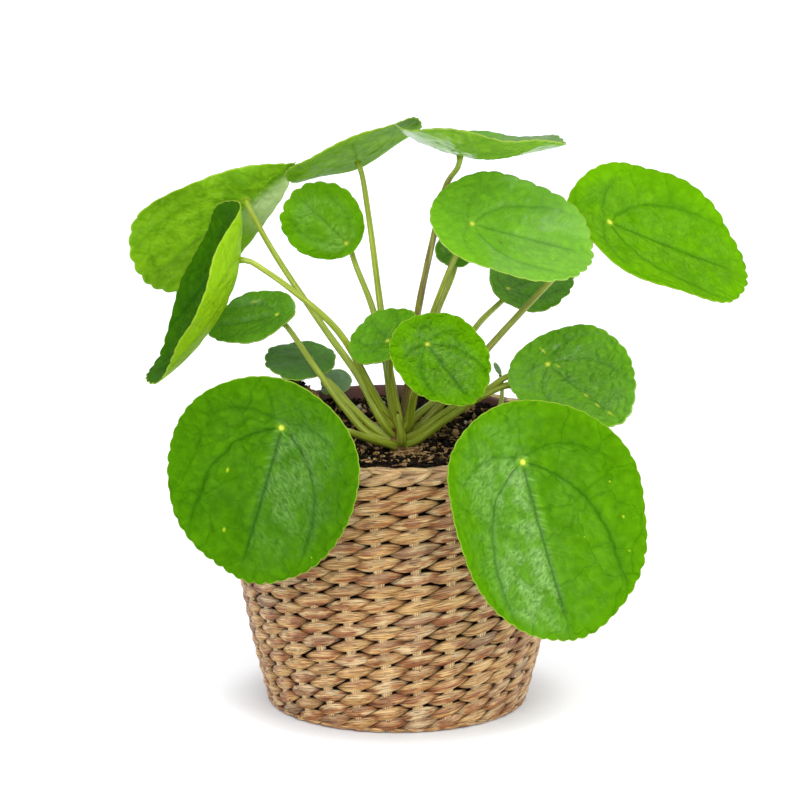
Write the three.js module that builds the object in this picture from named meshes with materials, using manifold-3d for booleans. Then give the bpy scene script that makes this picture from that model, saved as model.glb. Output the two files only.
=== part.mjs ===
// A potted pilea: a young plant with round leaves in a plastic nursery pot, which stands in a basket
// of twined plant fibre. Sizes are in millimetres and angles in degrees, +Z is up, the origin is the
// centre of the basket's foot, and the plant is seen from -Y.
import * as THREE from 'three';
import { mergeVertices } from 'three/addons/utils/BufferGeometryUtils.js';
import Module from 'manifold-3d';

const wasm = await Module();
wasm.setup();

// Clearance between pieces that touch
const GAP = 0.3;

// Basket
const BASKET_HEIGHT = 122;
const BASKET_TOP_RADIUS = 75;
const BASKET_FOOT_RADIUS = 56.5;
const BASKET_FLARE_POWER = 1.85;
const FOOT_INSET = 2;
const BASKET_WALL = 6;
const BASKET_FLOOR = 6;
const CAVITY_SIDES = 42;
const CAVITY_STEPS = 4;

// Weave: each course is a pair of strands twined round the upright warps
const WARPS = 28;
const STEPS_PER_WARP = 3;
const COURSES = 18;
const STITCH_RELIEF = 2;
const STITCH_LENGTH = 1.3; // in warp spacings
const STITCH_SLANT = 0.3; // rise in course heights over one warp spacing
const STITCH_BULGE = 1; // width in course heights

// Border: a thicker twisted ring that finishes the top edge
const BORDER_HEIGHT = 8;
const BORDER_WIDTH = 7.4;
const BORDER_RELIEF = 0.7;
const BORDER_SIDES = 8;
const BORDER_STRANDS = 2;

// Nursery pot, standing a little askew in the basket
const POT_HEIGHT = 113.5;
const POT_RIM_RADIUS = 64;
const POT_FOOT_RADIUS = 46;
const POT_WALL = 1.6;
const POT_RIM_BAND = 10;
const POT_RIM_STEP = 1.4;
const POT_SIDES = 48;
const POT_PLACE = [-2, 4, 9];
const POT_TILT = [3, 1.2]; // about X and about Y
const DRAIN_HOLE_RADIUS = 3.5;
const DRAIN_HOLES = 4;
const DRAIN_CIRCLE_RADIUS = 30;

// Soil: dished towards the trunk, with a heap at the back left
const SOIL_LEVEL = 113.5;
const SOIL_DISH = 7.5;
const SOIL_DISH_RADIUS = 60;
const SOIL_BACK_SLOPE = 0.015;
const SOIL_LUMP = 0.7;
const SOIL_SIDES = 40;
const SOIL_RINGS = 6;
const HEAP_PLACE = [-44, 30];
const HEAP_HEIGHT = 16;
const HEAP_SPREAD = 11;

// Trunk
const TRUNK_PLACE = [1, -6];
const TRUNK_FOOT_Z = 90;
const TRUNK_TOP_Z = 129;
const TRUNK_FOOT_RADIUS = 5.8;
const TRUNK_TOP_RADIUS = 3.6;
const TRUNK_SIDES = 12;
const TRUNK_RINGS = 5;

// Leaf stalks
const STALK_BASE_RADIUS = 2.2;
const STALK_TIP_RADIUS = 1.15;
const STALK_SIDES = 6;
const STALK_STEPS = 10;
const STALK_NECK = 5;
const SHOOT_SCALE = 0.55;

// Leaf blades
const BLADE_THICKNESS = 0.9;
const FOLD_WIDTH = 0.12; // how fast a fold turns, as a share of the leaf's width
const SCALLOP_SPACING = 12;
const SCALLOP_DEPTH = 0.8;
const RIPPLE_DEPTH = 0.014; // as a share of the leaf's length
const RIPPLE_WAVES = 5;
const LARGE_LEAF = 55;
const SECTION_STEPS = 8;
const LEAST_BEND = 0.01;

// Each leaf: the navel is where the stalk meets the blade, `faces` is the azimuth (0 is +X, 90 is +Y)
// and elevation of its upper side, and `turn` swings its tip from the downhill line round that side.
// `back` is the share of the length behind the navel. The blade folds up along its midrib by `fold`,
// curves up towards its sides by `cup` and along its length by `bend`. A `point` above 0 narrows it
// towards its back, and one below 0 towards its tip. The stalk leaves the trunk at the height `from`
// and passes through the places in `via`.
const LEAVES = [
  {
    name: 'front_left', navel: [-48.5, -76, 140.5], faces: [-109, 4], turn: -15, length: 88, width: 87,
    back: 0.23, egg: -0.11, fold: 9, cup: 10, bend: 5, from: 114,
    via: [[-3, -11, 116.5], [-13, -25, 123], [-24, -42, 131]],
  },
  {
    name: 'front_right', navel: [53, -70, 124], faces: [-61, 21], turn: 5, length: 104, width: 97,
    back: 0.25, egg: -0.06, fold: 8, cup: 17, bend: 9, from: 115,
    via: [[8, -10, 118], [22, -12, 128.5], [36, -12, 138], [49, -11, 143], [55, -17, 139], [54, -34, 132],
      [52, -54, 127]],
  },
  {
    name: 'right_folded', navel: [65, -10, 152], faces: [-98, 48], turn: 48, length: 61, width: 54,
    back: 0.22, egg: -0.06, fold: 25, cup: 0, bend: 17, from: 118,
    via: [[8, -9, 121], [23, -10, 132], [39, -11, 141], [48, -11, 147]],
  },
  {
    name: 'centre_front', navel: [13, -42, 168.5], faces: [-82, 45], turn: 29, length: 48, width: 41,
    back: 0.3, egg: -0.05, fold: 8, cup: 3, bend: 0, from: 121,
    via: [[5, -12, 126], [7, -22, 141], [11, -32, 155]],
  },
  {
    name: 'centre_rear', navel: [-4, -23, 165.5], faces: [-123, 51], turn: -123, length: 28, width: 33,
    back: 0.38, egg: -0.08, fold: 2, cup: 0, bend: 16, from: 121,
    via: [[0, -9, 127], [-2, -13, 141], [-3, -17, 154]],
  },
  {
    name: 'left_high', navel: [-66, 30, 216], faces: [107, 23], turn: 48, length: 85, width: 60,
    back: 0.33, egg: 0.27, fold: 18, cup: -12, bend: -9, point: 0.33, from: 118,
    via: [[-6, -9, 126], [-17, -1, 145], [-31, 8, 163], [-54, 22, 195]],
  },
  {
    name: 'left_cupped', navel: [-68, -18, 200], faces: [183, 9], turn: -11, length: 96, width: 80,
    back: 0.26, egg: -0.07, fold: 25, cup: 11, bend: 68, point: -0.1, from: 119,
    via: [[-9, -9, 137], [-25, -13, 167], [-45, -15, 186], [-58, -17, 196]],
  },
  {
    name: 'left_mid', navel: [-52, 7, 170], faces: [-133, 55], turn: -55, length: 40, width: 33,
    back: 0.22, egg: -0.07, fold: 10, cup: -1, bend: 20, from: 116,
    via: [[-12, -6, 120], [-23, -2, 131], [-36, 4, 148], [-48, 7, 165]],
  },
  {
    name: 'left_low', navel: [-38, 22, 147], faces: [-88, 69], turn: -74, length: 31, width: 29,
    back: 0.36, egg: 0.06, fold: 2, cup: -6, bend: 4, from: 117,
    via: [[-9, -5, 122], [-20, 4, 130], [-27, 13, 136], [-33, 19, 140]],
  },
  {
    name: 'top_left', navel: [-17.5, 22, 235], faces: [134, 57], turn: 139, length: 52, width: 63,
    back: 0.26, egg: 0.01, fold: 5, cup: 0, bend: 4, from: 115,
    via: [[2, -11, 119], [-3, -5, 147], [-7, 3, 173], [-12, 14, 210]],
  },
  {
    name: 'top_right', navel: [27, -12, 245], faces: [38, 80], turn: -89, length: 83, width: 71,
    back: 0.33, egg: -0.13, fold: 16, cup: 9, bend: 41, from: 122,
    via: [[4, -4, 136], [9, -3, 174], [16, -2, 208], [21, -2, 229]],
  },
  {
    name: 'glossy', navel: [-22, 20, 199], faces: [-94, -8], turn: -136, length: 37, width: 35,
    back: 0.13, egg: 0.09, fold: 4, cup: 1, bend: 2, from: 121,
    via: [[-2, -3, 131], [-5, 5, 150], [-11, 15, 172], [-18, 25, 188]],
  },
  {
    name: 'right_high', navel: [32, -20, 216], faces: [-64, 50], turn: 63, length: 73, width: 58,
    back: 0.26, egg: -0.04, fold: 9, cup: 9, bend: 6, from: 120,
    via: [[6, -9, 132], [10, -12, 158], [19, -16, 186], [26, -19, 204]],
  },
  {
    name: 'far_right', navel: [92, 16, 209], faces: [-45, 45], turn: 54, length: 90, width: 71,
    back: 0.23, egg: -0.05, fold: 9, cup: 14, bend: 1, from: 117,
    via: [[9, -7, 123], [19, -5, 133], [40, 2, 157], [66, 9, 184]],
  },
  {
    name: 'rear_small', navel: [28, 16, 198], faces: [-70, 41], turn: -66, length: 19, width: 17,
    back: 0.3, egg: -0.02, fold: 5, cup: 5, bend: 7, from: 122,
    via: [[6, -3, 133], [13, 2, 160], [19, 8, 175], [24, 13, 186]],
  },
  {
    name: 'rear_right', navel: [48.5, 34, 175.5], faces: [-69, 56], turn: 102, length: 39, width: 34,
    back: 0.18, egg: -0.13, fold: 4, cup: -5, bend: 22, from: 118,
    via: [[8, -3, 127], [18, 4, 134], [34, 20, 161]],
  },
];

// Young side shoots behind the trunk, each a short stem with tiny blades
const SHOOTS = [
  {
    name: 'shoot_left', foot: [-25, 42], sprigs: [
      {
        name: 'shoot_left_upper', navel: [-25.5, 42, 132], faces: [-80, 40], turn: -80, length: 14, width: 12,
        back: 0.4, egg: 0, fold: 0, cup: 4, bend: 0, via: [[-25, 46, 127]],
      },
      {
        name: 'shoot_left_lower', navel: [-31, 34, 131], faces: [-120, 50], turn: 30, length: 7, width: 5,
        back: 0.4, egg: 0, fold: 0, cup: 4, bend: 0, via: [[-28, 38, 126]],
      },
    ],
  },
  {
    name: 'shoot_right', foot: [45, 29], sprigs: [
      {
        name: 'shoot_right_leaf', navel: [45, 30, 138.5], faces: [-90, 10], turn: -152, length: 6, width: 2.4,
        back: 0.15, egg: 0, fold: 4, cup: 0, bend: 0, via: [[46, 32, 128], [46, 34, 133]],
      },
    ],
  },
];
const SHOOT_FOOT_DEPTH = 8;
const SHOOT_FOOT_RADIUS = 1.6;
const SHOOT_FOOT_RISE = 1.5;

const degrees = THREE.MathUtils.degToRad;
const turnedAbout = (radius, angle, z) =>
  new THREE.Vector3(radius * Math.cos(angle), radius * Math.sin(angle), z);

// Joins rings of points into one closed surface. The rings run upwards with their points
// anticlockwise, a ring of one point closes to that point, and an open end gets a flat cap.
// From the band `mirroredFrom` on, each quad is split along its other diagonal.
function loft(rings, mirroredFrom = Infinity) {
  const points = [];
  const triangles = [];
  const starts = [];
  for (const ring of rings) {
    starts.push(points.length);
    points.push(...ring);
  }
  const index = (ring, j) => starts[ring] + (j % rings[ring].length);
  for (let i = 0; i + 1 < rings.length; i++) {
    const count = Math.max(rings[i].length, rings[i + 1].length);
    for (let j = 0; j < count; j++) {
      const [a, b] = [index(i, j), index(i, j + 1)];
      const [d, c] = [index(i + 1, j), index(i + 1, j + 1)];
      if (rings[i].length === 1) {
        triangles.push([a, c, d]);
      } else if (rings[i + 1].length === 1) {
        triangles.push([a, b, d]);
      } else if (i < mirroredFrom) {
        triangles.push([a, b, c], [a, c, d]);
      } else {
        triangles.push([a, b, d], [b, c, d]);
      }
    }
  }
  const last = rings.length - 1;
  for (const [a, b, c] of flatCap(rings[0].length)) triangles.push([c, b, a]);
  for (const [a, b, c] of flatCap(rings[last].length)) {
    triangles.push([index(last, a), index(last, b), index(last, c)]);
  }
  return { points, triangles };
}

// Splits a convex ring into triangles without a middle point.
function flatCap(count) {
  const triangles = [];
  let low = 0;
  let high = count - 1;
  while (high - low > 1) {
    triangles.push([low, low + 1, high]);
    low++;
    if (high - low > 1) {
      triangles.push([low, high - 1, high]);
      high--;
    }
  }
  return triangles;
}

function geometryOf({ points, triangles }) {
  const geometry = new THREE.BufferGeometry();
  geometry.setFromPoints(points);
  geometry.setIndex(triangles.flat());
  geometry.computeVertexNormals();
  return geometry;
}

function solidOf({ points, triangles }) {
  return new wasm.Manifold(new wasm.Mesh({
    numProp: 3,
    vertProperties: new Float32Array(points.flatMap((p) => p.toArray())),
    triVerts: new Uint32Array(triangles.flat()),
  }));
}

function solidOfGeometry(source) {
  const geometry = source.clone();
  geometry.deleteAttribute('normal');
  geometry.deleteAttribute('uv');
  const merged = mergeVertices(geometry, 1e-4);
  return new wasm.Manifold(new wasm.Mesh({
    numProp: 3,
    vertProperties: new Float32Array(merged.attributes.position.array),
    triVerts: new Uint32Array(merged.index.array),
  }));
}

function geometryOfSolid(solid) {
  const mesh = solid.getMesh();
  const geometry = new THREE.BufferGeometry();
  geometry.setAttribute('position', new THREE.BufferAttribute(mesh.vertProperties, 3));
  geometry.setIndex(new THREE.BufferAttribute(mesh.triVerts, 1));
  geometry.computeVertexNormals();
  return geometry;
}

// Basket

const wallTop = BASKET_HEIGHT - BORDER_HEIGHT;
const courseHeight = wallTop / COURSES;

function basketRadius(z) {
  const share = Math.max(0, 1 - z / BASKET_HEIGHT);
  const flare = (BASKET_TOP_RADIUS - BASKET_FOOT_RADIUS) * share ** BASKET_FLARE_POWER;
  return BASKET_TOP_RADIUS - flare;
}

// Height of the weave, 0 in the gaps to 1 on a stitch's crown. `along` is in warp spacings from a
// stitch's middle, and `across` in course heights from the middle of the course.
function stitchHeight(along, across) {
  let height = 0;
  for (const neighbour of [-1, 0, 1]) {
    const u = along - neighbour;
    const v = across - STITCH_SLANT * u;
    const taper = 1 - (2 * u / STITCH_LENGTH) ** 2;
    if (taper <= 0) continue;
    const round = 1 - (2 * v / (STITCH_BULGE * Math.sqrt(taper))) ** 2;
    height = Math.max(height, taper * Math.sqrt(Math.max(0, round)));
  }
  return height;
}

function makeBasket() {
  const count = WARPS * STEPS_PER_WARP;
  const step = 2 * Math.PI / count;
  const rings = [];
  for (let i = 0; i <= 2 * COURSES; i++) {
    const z = i * courseHeight / 2;
    const across = i % 2 === 0 ? 0.5 : 0;
    const ring = [];
    for (let j = 0; j < count; j++) {
      const place = j + i / 2;
      const along = (place / STEPS_PER_WARP + 0.5) % 1 - 0.5;
      const height = stitchHeight(along, across);
      const inset = i === 0 ? FOOT_INSET : STITCH_RELIEF * (1 - height);
      ring.push(turnedAbout(basketRadius(z) - inset, place * step, z));
    }
    rings.push(ring);
  }
  const outside = solidOf(loft(rings));

  const profile = [new THREE.Vector2(0, BASKET_FLOOR)];
  for (let i = 0; i <= CAVITY_STEPS; i++) {
    const z = BASKET_FLOOR + (BASKET_HEIGHT - BASKET_FLOOR) * i / CAVITY_STEPS;
    profile.push(new THREE.Vector2(basketRadius(z) - BASKET_WALL, z));
  }
  profile.push(new THREE.Vector2(0, BASKET_HEIGHT));
  const cavity = new THREE.LatheGeometry(profile, CAVITY_SIDES).rotateX(Math.PI / 2);
  return geometryOfSolid(outside.subtract(solidOfGeometry(cavity)));
}

function makeBorder() {
  const count = WARPS * STEPS_PER_WARP;
  const middleRadius = BASKET_TOP_RADIUS - BORDER_WIDTH / 2;
  const middleZ = (wallTop + GAP + BASKET_HEIGHT) / 2;
  const halfHeight = (BASKET_HEIGHT - wallTop - GAP) / 2;
  const points = [];
  const triangles = [];
  for (let j = 0; j < count; j++) {
    const angle = 2 * Math.PI * j / count;
    for (let k = 0; k < BORDER_SIDES; k++) {
      const round = 2 * Math.PI * k / BORDER_SIDES;
      const twist = Math.cos(BORDER_STRANDS * round + angle * WARPS);
      const inset = BORDER_RELIEF * (1 - twist) / 2;
      const radius = middleRadius + (BORDER_WIDTH / 2 - inset) * Math.cos(round);
      points.push(turnedAbout(radius, angle, middleZ + (halfHeight - inset) * Math.sin(round)));
    }
  }
  for (let j = 0; j < count; j++) {
    for (let k = 0; k < BORDER_SIDES; k++) {
      const next = (j + 1) % count * BORDER_SIDES;
      const side = (k + 1) % BORDER_SIDES;
      const [a, b] = [j * BORDER_SIDES + k, next + k];
      const [c, d] = [next + side, j * BORDER_SIDES + side];
      triangles.push([a, b, c], [a, c, d]);
    }
  }
  return geometryOf({ points, triangles });
}

// Nursery pot and soil

const potMatrix = new THREE.Matrix4()
  .makeRotationFromEuler(new THREE.Euler(degrees(POT_TILT[0]), degrees(POT_TILT[1]), 0))
  .setPosition(...POT_PLACE);

function potLathe(profile) {
  const points = profile.map(([radius, z]) => new THREE.Vector2(radius, z));
  return new THREE.LatheGeometry(points, POT_SIDES).rotateX(Math.PI / 2);
}

function potInnerRadius(z) {
  const top = POT_RIM_RADIUS - POT_RIM_STEP - POT_WALL;
  const foot = POT_FOOT_RADIUS - POT_WALL;
  return foot + (top - foot) * z / POT_HEIGHT;
}

function makePot() {
  const bandZ = POT_HEIGHT - POT_RIM_BAND;
  const shell = potLathe([
    [0, 0],
    [POT_FOOT_RADIUS, 0],
    [potInnerRadius(bandZ) + POT_WALL, bandZ],
    [POT_RIM_RADIUS, bandZ],
    [POT_RIM_RADIUS, POT_HEIGHT],
    [potInnerRadius(POT_HEIGHT), POT_HEIGHT],
    [potInnerRadius(POT_WALL), POT_WALL],
    [0, POT_WALL],
  ]);
  let pot = solidOfGeometry(shell);
  for (let i = 0; i < DRAIN_HOLES; i++) {
    const hole = new THREE.CylinderGeometry(DRAIN_HOLE_RADIUS, DRAIN_HOLE_RADIUS, 4 * POT_WALL, 8)
      .rotateX(Math.PI / 2)
      .translate(...turnedAbout(DRAIN_CIRCLE_RADIUS, 2 * Math.PI * (i + 0.5) / DRAIN_HOLES, 0));
    pot = pot.subtract(solidOfGeometry(hole));
  }
  return geometryOfSolid(pot);
}

function soilHeight(x, y) {
  const dish = SOIL_DISH * (x * x + y * y) / SOIL_DISH_RADIUS ** 2;
  const fromHeap = ((x - HEAP_PLACE[0]) ** 2 + (y - HEAP_PLACE[1]) ** 2) / HEAP_SPREAD ** 2;
  const heap = HEAP_HEIGHT * Math.exp(-fromHeap);
  const lumps = SOIL_LUMP * Math.sin(0.31 * x + 1) * Math.cos(0.27 * y - 0.05 * x);
  return SOIL_LEVEL + dish + SOIL_BACK_SLOPE * y + heap + lumps;
}

// A round post from `foot` up to `top` for cutting a stem's hole
function post(x, y, radius, foot, top) {
  const cylinder = new THREE.CylinderGeometry(radius, radius, top - foot, TRUNK_SIDES);
  return solidOfGeometry(cylinder.rotateX(Math.PI / 2).translate(x, y, (foot + top) / 2));
}

function makeSoil() {
  const ring = (radius, z) => Array.from({ length: SOIL_SIDES }, (_, j) => {
    const point = turnedAbout(radius, 2 * Math.PI * j / SOIL_SIDES, z);
    if (z > 0) point.z = soilHeight(point.x, point.y);
    return point;
  });
  const rings = [ring(POT_RIM_RADIUS + 10, 0)];
  for (let i = SOIL_RINGS; i > 0; i--) {
    rings.push(ring((POT_RIM_RADIUS + 10) * i / SOIL_RINGS, 1));
  }
  rings.push([new THREE.Vector3(0, 0, soilHeight(0, 0))]);
  const room = potLathe([
    [0, POT_WALL + GAP],
    [potInnerRadius(POT_WALL) - GAP, POT_WALL + GAP],
    [potInnerRadius(POT_HEIGHT) - GAP, POT_HEIGHT],
    [potInnerRadius(POT_HEIGHT) - GAP, POT_HEIGHT + 30],
    [0, POT_HEIGHT + 30],
  ]).applyMatrix4(potMatrix);
  let soil = solidOf(loft(rings)).intersect(solidOfGeometry(room));
  const above = BASKET_HEIGHT + 30;
  soil = soil.subtract(
    post(...TRUNK_PLACE, TRUNK_FOOT_RADIUS + GAP, TRUNK_FOOT_Z - GAP, above));
  for (const { foot } of SHOOTS) {
    const bottom = soilHeight(...foot) - SHOOT_FOOT_DEPTH;
    soil = soil.subtract(post(...foot, SHOOT_FOOT_RADIUS + GAP, bottom - GAP, above));
  }
  return geometryOfSolid(soil);
}

// Leaves

// The blade's frame: its tip, its left side and its upper side as unit vectors
function leafFrame(leaf) {
  const [azimuth, elevation] = leaf.faces.map(degrees);
  const up = turnedAbout(Math.cos(elevation), azimuth, Math.sin(elevation));
  const downhill = new THREE.Vector3(0, 0, -1).addScaledVector(up, up.z).normalize();
  const tip = downhill.applyAxisAngle(up, degrees(leaf.turn));
  return { tip, left: new THREE.Vector3().crossVectors(up, tip), up };
}

// A point of the blade's middle surface in its own frame, where `share` runs from the navel to the
// margin and `angle` from the tip round by the left side
function bladePoint(leaf, share, angle) {
  const half = leaf.length / 2;
  const scallops = Math.round(Math.PI * leaf.width / SCALLOP_SPACING);
  const scallop = 1 + SCALLOP_DEPTH * Math.cos(scallops * angle) * share ** 6 / leaf.width;
  const along = share * scallop * (half * (1 - 2 * leaf.back) + half * Math.cos(angle));
  const egg = 1 + leaf.egg * Math.cos(angle);
  const point = leaf.point ?? 0;
  const narrowing = ((1 + Math.sign(point) * Math.cos(angle)) / 2) ** Math.abs(point);
  const across = share * scallop * leaf.width / 2 * Math.sin(angle) * egg * narrowing;

  let y = 0;
  let z = RIPPLE_DEPTH * leaf.length * Math.sin(RIPPLE_WAVES * angle + leaf.length) * share ** 3;
  for (let k = 0; k < SECTION_STEPS; k++) {
    const reach = Math.abs(across) * (k + 0.5) / SECTION_STEPS;
    const slope = degrees(leaf.fold) * (1 - Math.exp(-reach / (FOLD_WIDTH * leaf.width)))
      + degrees(leaf.cup) * reach / (leaf.width / 2);
    y += Math.cos(slope) * across / SECTION_STEPS;
    z += Math.sin(slope) * Math.abs(across) / SECTION_STEPS;
  }
  const bend = degrees(leaf.bend || LEAST_BEND);
  const bent = bend * along / leaf.length;
  const radius = leaf.length / bend;
  return new THREE.Vector3(
    radius * Math.sin(bent) - z * Math.sin(bent),
    y,
    radius * (1 - Math.cos(bent)) + z * Math.cos(bent),
  );
}

function makeBlade(leaf) {
  const shares = leaf.length > LARGE_LEAF ? [0.4, 0.75, 1] : [0.55, 1];
  const count = leaf.length > LARGE_LEAF ? 32 : 20;
  const { tip, left, up } = leafFrame(leaf);
  const place = (share, angle, lift) => {
    const local = bladePoint(leaf, share, angle);
    return new THREE.Vector3(...leaf.navel)
      .addScaledVector(tip, local.x)
      .addScaledVector(left, local.y)
      .addScaledVector(up, local.z + lift);
  };
  const ring = (share, lift) => Array.from({ length: count }, (_, j) =>
    place(share, 2 * Math.PI * j / count, lift));
  const low = -BLADE_THICKNESS / 2;
  const high = BLADE_THICKNESS / 2;
  return geometryOf(loft([
    [place(0, 0, low)],
    ...shares.map((share) => ring(share, low)),
    ...[...shares].reverse().map((share) => ring(share, high)),
    [place(0, 0, high)],
  ], shares.length + 1));
}

// A tapered tube through a list of places
function tube(places, baseRadius, tipRadius, sides, steps) {
  const curve = new THREE.CatmullRomCurve3(places, false, 'centripetal');
  const frames = curve.computeFrenetFrames(steps, false);
  const rings = [];
  for (let i = 0; i <= steps; i++) {
    const centre = curve.getPointAt(i / steps);
    const radius = THREE.MathUtils.lerp(baseRadius, tipRadius, Math.sqrt(i / steps));
    rings.push(Array.from({ length: sides }, (_, j) => {
      const angle = 2 * Math.PI * j / sides;
      return centre.clone()
        .addScaledVector(frames.normals[i], radius * Math.cos(angle))
        .addScaledVector(frames.binormals[i], radius * Math.sin(angle));
    }));
  }
  return solidOf(loft(rings));
}

// The last places of a stalk, where it turns square to the blade and stops just under it
function stalkEnd(leaf, neck) {
  const { up } = leafFrame(leaf);
  return [neck, BLADE_THICKNESS / 2 + GAP].map((depth) =>
    new THREE.Vector3(...leaf.navel).addScaledVector(up, -depth));
}

function stalk(leaf, start, scale, steps) {
  const places = [
    new THREE.Vector3(...start),
    ...leaf.via.map((place) => new THREE.Vector3(...place)),
    ...stalkEnd(leaf, STALK_NECK * scale),
  ];
  return tube(places, STALK_BASE_RADIUS * scale, STALK_TIP_RADIUS * scale, STALK_SIDES, steps);
}

function makeStems() {
  const trunkRings = [];
  for (let i = 0; i <= TRUNK_RINGS; i++) {
    const share = i / TRUNK_RINGS;
    const radius = THREE.MathUtils.lerp(TRUNK_FOOT_RADIUS, TRUNK_TOP_RADIUS, share ** 2);
    const z = THREE.MathUtils.lerp(TRUNK_FOOT_Z, TRUNK_TOP_Z, share);
    trunkRings.push(Array.from({ length: TRUNK_SIDES }, (_, j) => {
      const point = turnedAbout(radius, 2 * Math.PI * j / TRUNK_SIDES, z);
      return point.add(new THREE.Vector3(...TRUNK_PLACE, 0));
    }));
  }
  let stems = solidOf(loft(trunkRings));
  for (const leaf of LEAVES) {
    stems = stems.add(stalk(leaf, [...TRUNK_PLACE, leaf.from], 1, STALK_STEPS));
  }
  return geometryOfSolid(stems);
}

function makeShoot(shoot) {
  const footZ = soilHeight(...shoot.foot) - SHOOT_FOOT_DEPTH;
  const start = [...shoot.foot, footZ + SHOOT_FOOT_DEPTH + SHOOT_FOOT_RISE];
  let stem = post(...shoot.foot, SHOOT_FOOT_RADIUS, footZ, start[2]);
  for (const sprig of shoot.sprigs) {
    stem = stem.add(stalk(sprig, start, SHOOT_SCALE, STALK_STEPS / 2));
  }
  return geometryOfSolid(stem);
}

// Assembly

const part = new THREE.Group();

function addPiece(name, geometry, color, roughness) {
  const material = new THREE.MeshStandardMaterial({ color, roughness, metalness: 0 });
  const mesh = new THREE.Mesh(geometry, material);
  mesh.name = name;
  part.add(mesh);
  return mesh;
}

addPiece('basket', makeBasket(), 0xb98a5a, 0.75);
addPiece('basket_border', makeBorder(), 0xc2966a, 0.75);
const pot = addPiece('nursery_pot', makePot(), 0x4a231c, 0.5);
pot.rotation.set(degrees(POT_TILT[0]), degrees(POT_TILT[1]), 0);
pot.position.set(...POT_PLACE);
addPiece('soil', makeSoil(), 0x2a1c14, 0.95);
addPiece('stems', makeStems(), 0x8aa23a, 0.5);
for (const leaf of LEAVES) {
  addPiece(`leaf_${leaf.name}`, makeBlade(leaf), 0x4f9410, 0.35);
}
for (const shoot of SHOOTS) {
  addPiece(`${shoot.name}_stem`, makeShoot(shoot), 0x86a86a, 0.5);
  for (const sprig of shoot.sprigs) {
    addPiece(`leaf_${sprig.name}`, makeBlade(sprig), 0x5b8a52, 0.45);
  }
}

export default part;
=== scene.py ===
"""A potted pilea in a basket of twined plant fibre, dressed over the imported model.

Lengths in the tables below are in millimetres and angles in degrees. Blender's own units are metres.
"""
import random
from collections import namedtuple
from math import copysign, cos, exp, hypot, pi, radians, sin, sqrt

import bpy
import numpy as np
from mathutils import Matrix, Vector, noise


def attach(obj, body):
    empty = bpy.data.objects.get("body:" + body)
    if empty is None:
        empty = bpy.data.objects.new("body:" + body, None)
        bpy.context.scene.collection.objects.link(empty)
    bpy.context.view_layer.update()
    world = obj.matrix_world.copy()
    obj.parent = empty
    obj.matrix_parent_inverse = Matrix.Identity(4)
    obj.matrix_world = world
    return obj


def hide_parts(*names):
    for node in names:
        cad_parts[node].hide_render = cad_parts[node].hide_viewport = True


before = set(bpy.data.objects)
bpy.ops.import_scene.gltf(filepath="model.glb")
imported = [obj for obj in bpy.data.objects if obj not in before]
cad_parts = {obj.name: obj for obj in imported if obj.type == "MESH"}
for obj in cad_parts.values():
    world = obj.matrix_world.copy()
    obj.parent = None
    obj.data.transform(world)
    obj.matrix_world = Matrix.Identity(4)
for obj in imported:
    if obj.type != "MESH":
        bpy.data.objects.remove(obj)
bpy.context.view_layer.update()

bl_info = {
    "name": "Potted Pilea",
    "version": (1, 0, 0),
    "blender": (4, 5, 0),
    "location": "View3D > Sidebar > Pilea",
    "description": "Builds a pilea with round leaves in a nursery pot and a twined basket",
    "category": "Add Mesh",
}

MM = 0.001
SEED = 753

# Basket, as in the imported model
BASKET_HEIGHT = 122
BASKET_TOP_RADIUS = 75
BASKET_FOOT_RADIUS = 56.5
BASKET_FLARE_POWER = 1.85
BORDER_HEIGHT = 8
WARPS = 28
COURSES = 18
WALL = 6
FLOOR = 6
PITCH = 2 * pi / WARPS
WALL_TOP = BASKET_HEIGHT - BORDER_HEIGHT
COURSE = WALL_TOP / COURSES

# Nursery pot and soil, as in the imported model
POT_HEIGHT = 113.5
POT_RIM_RADIUS = 64
POT_FOOT_RADIUS = 46
POT_WALL = 1.6
POT_RIM_BAND = 10
POT_RIM_STEP = 1.4
POT_PLACE = (-2, 4, 9)
POT_TILT = (3, 1.2)
SOIL_LEVEL = 113.5
SOIL_DISH = 7.5
SOIL_DISH_RADIUS = 60
SOIL_BACK_SLOPE = 0.015
SOIL_LUMP = 0.7
HEAP_PLACE = (-44, 30)
HEAP_HEIGHT = 16
HEAP_SPREAD = 11

# How finely the pot and the soil are rounded, and what lies on the soil. Each bit of perlite has its place
# and its half size.
POT_SIDES = 128
SOIL_SIDES = 180
SOIL_RINGS = 47
CHIPS = 260
THREADS = 200
CLUMP_THREADS = 26
CLUMP_PLACE = (5, -24)
PERLITE = ((-17, 41, 1.9), (-34, 24, 1.1), (30, 24, 1.2), (14, -30, 0.8), (-12, -36, 0.9), (38, 8, 1.0),
           (-26, -22, 0.8), (22, 36, 1.3), (-6, 50, 1.1), (2, -40, 0.7))

# How many strands the foot, the border and the lip have all round, the ribbed warps inside the weave, and
# how finely the lining and the border's core are rounded
FOOT_PIECES = 44
PLAITS = 38
LIP_PIECES = 34
WARP_INSET = 1.6
WARP_HALF_WIDTH = 2.2
WARP_GROOVES = 0.98
LINING_SIDES = 168
CORE_SIDES = 140

# Stems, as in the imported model
GAP = 0.3
TRUNK_PLACE = (1, -6)
TRUNK_FOOT_Z = 90
TRUNK_TOP_Z = 129
TRUNK_FOOT_RADIUS = 5.8
TRUNK_TOP_RADIUS = 3.6
STALK_BASE_RADIUS = 2.2
STALK_TIP_RADIUS = 1.15
STALK_NECK = 5
SHOOT_SCALE = 0.55
SHOOT_FOOT_RISE = 1.5
BLADE_THICKNESS = 0.9
FOLD_WIDTH = 0.12
SCALLOP_SPACING = 6
SCALLOP_DEPTH = 0.68
RIPPLE_DEPTH = 0.014
RIPPLE_WAVES = 5
SECTION_STEPS = 8
LEAST_BEND = 0.01

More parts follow.
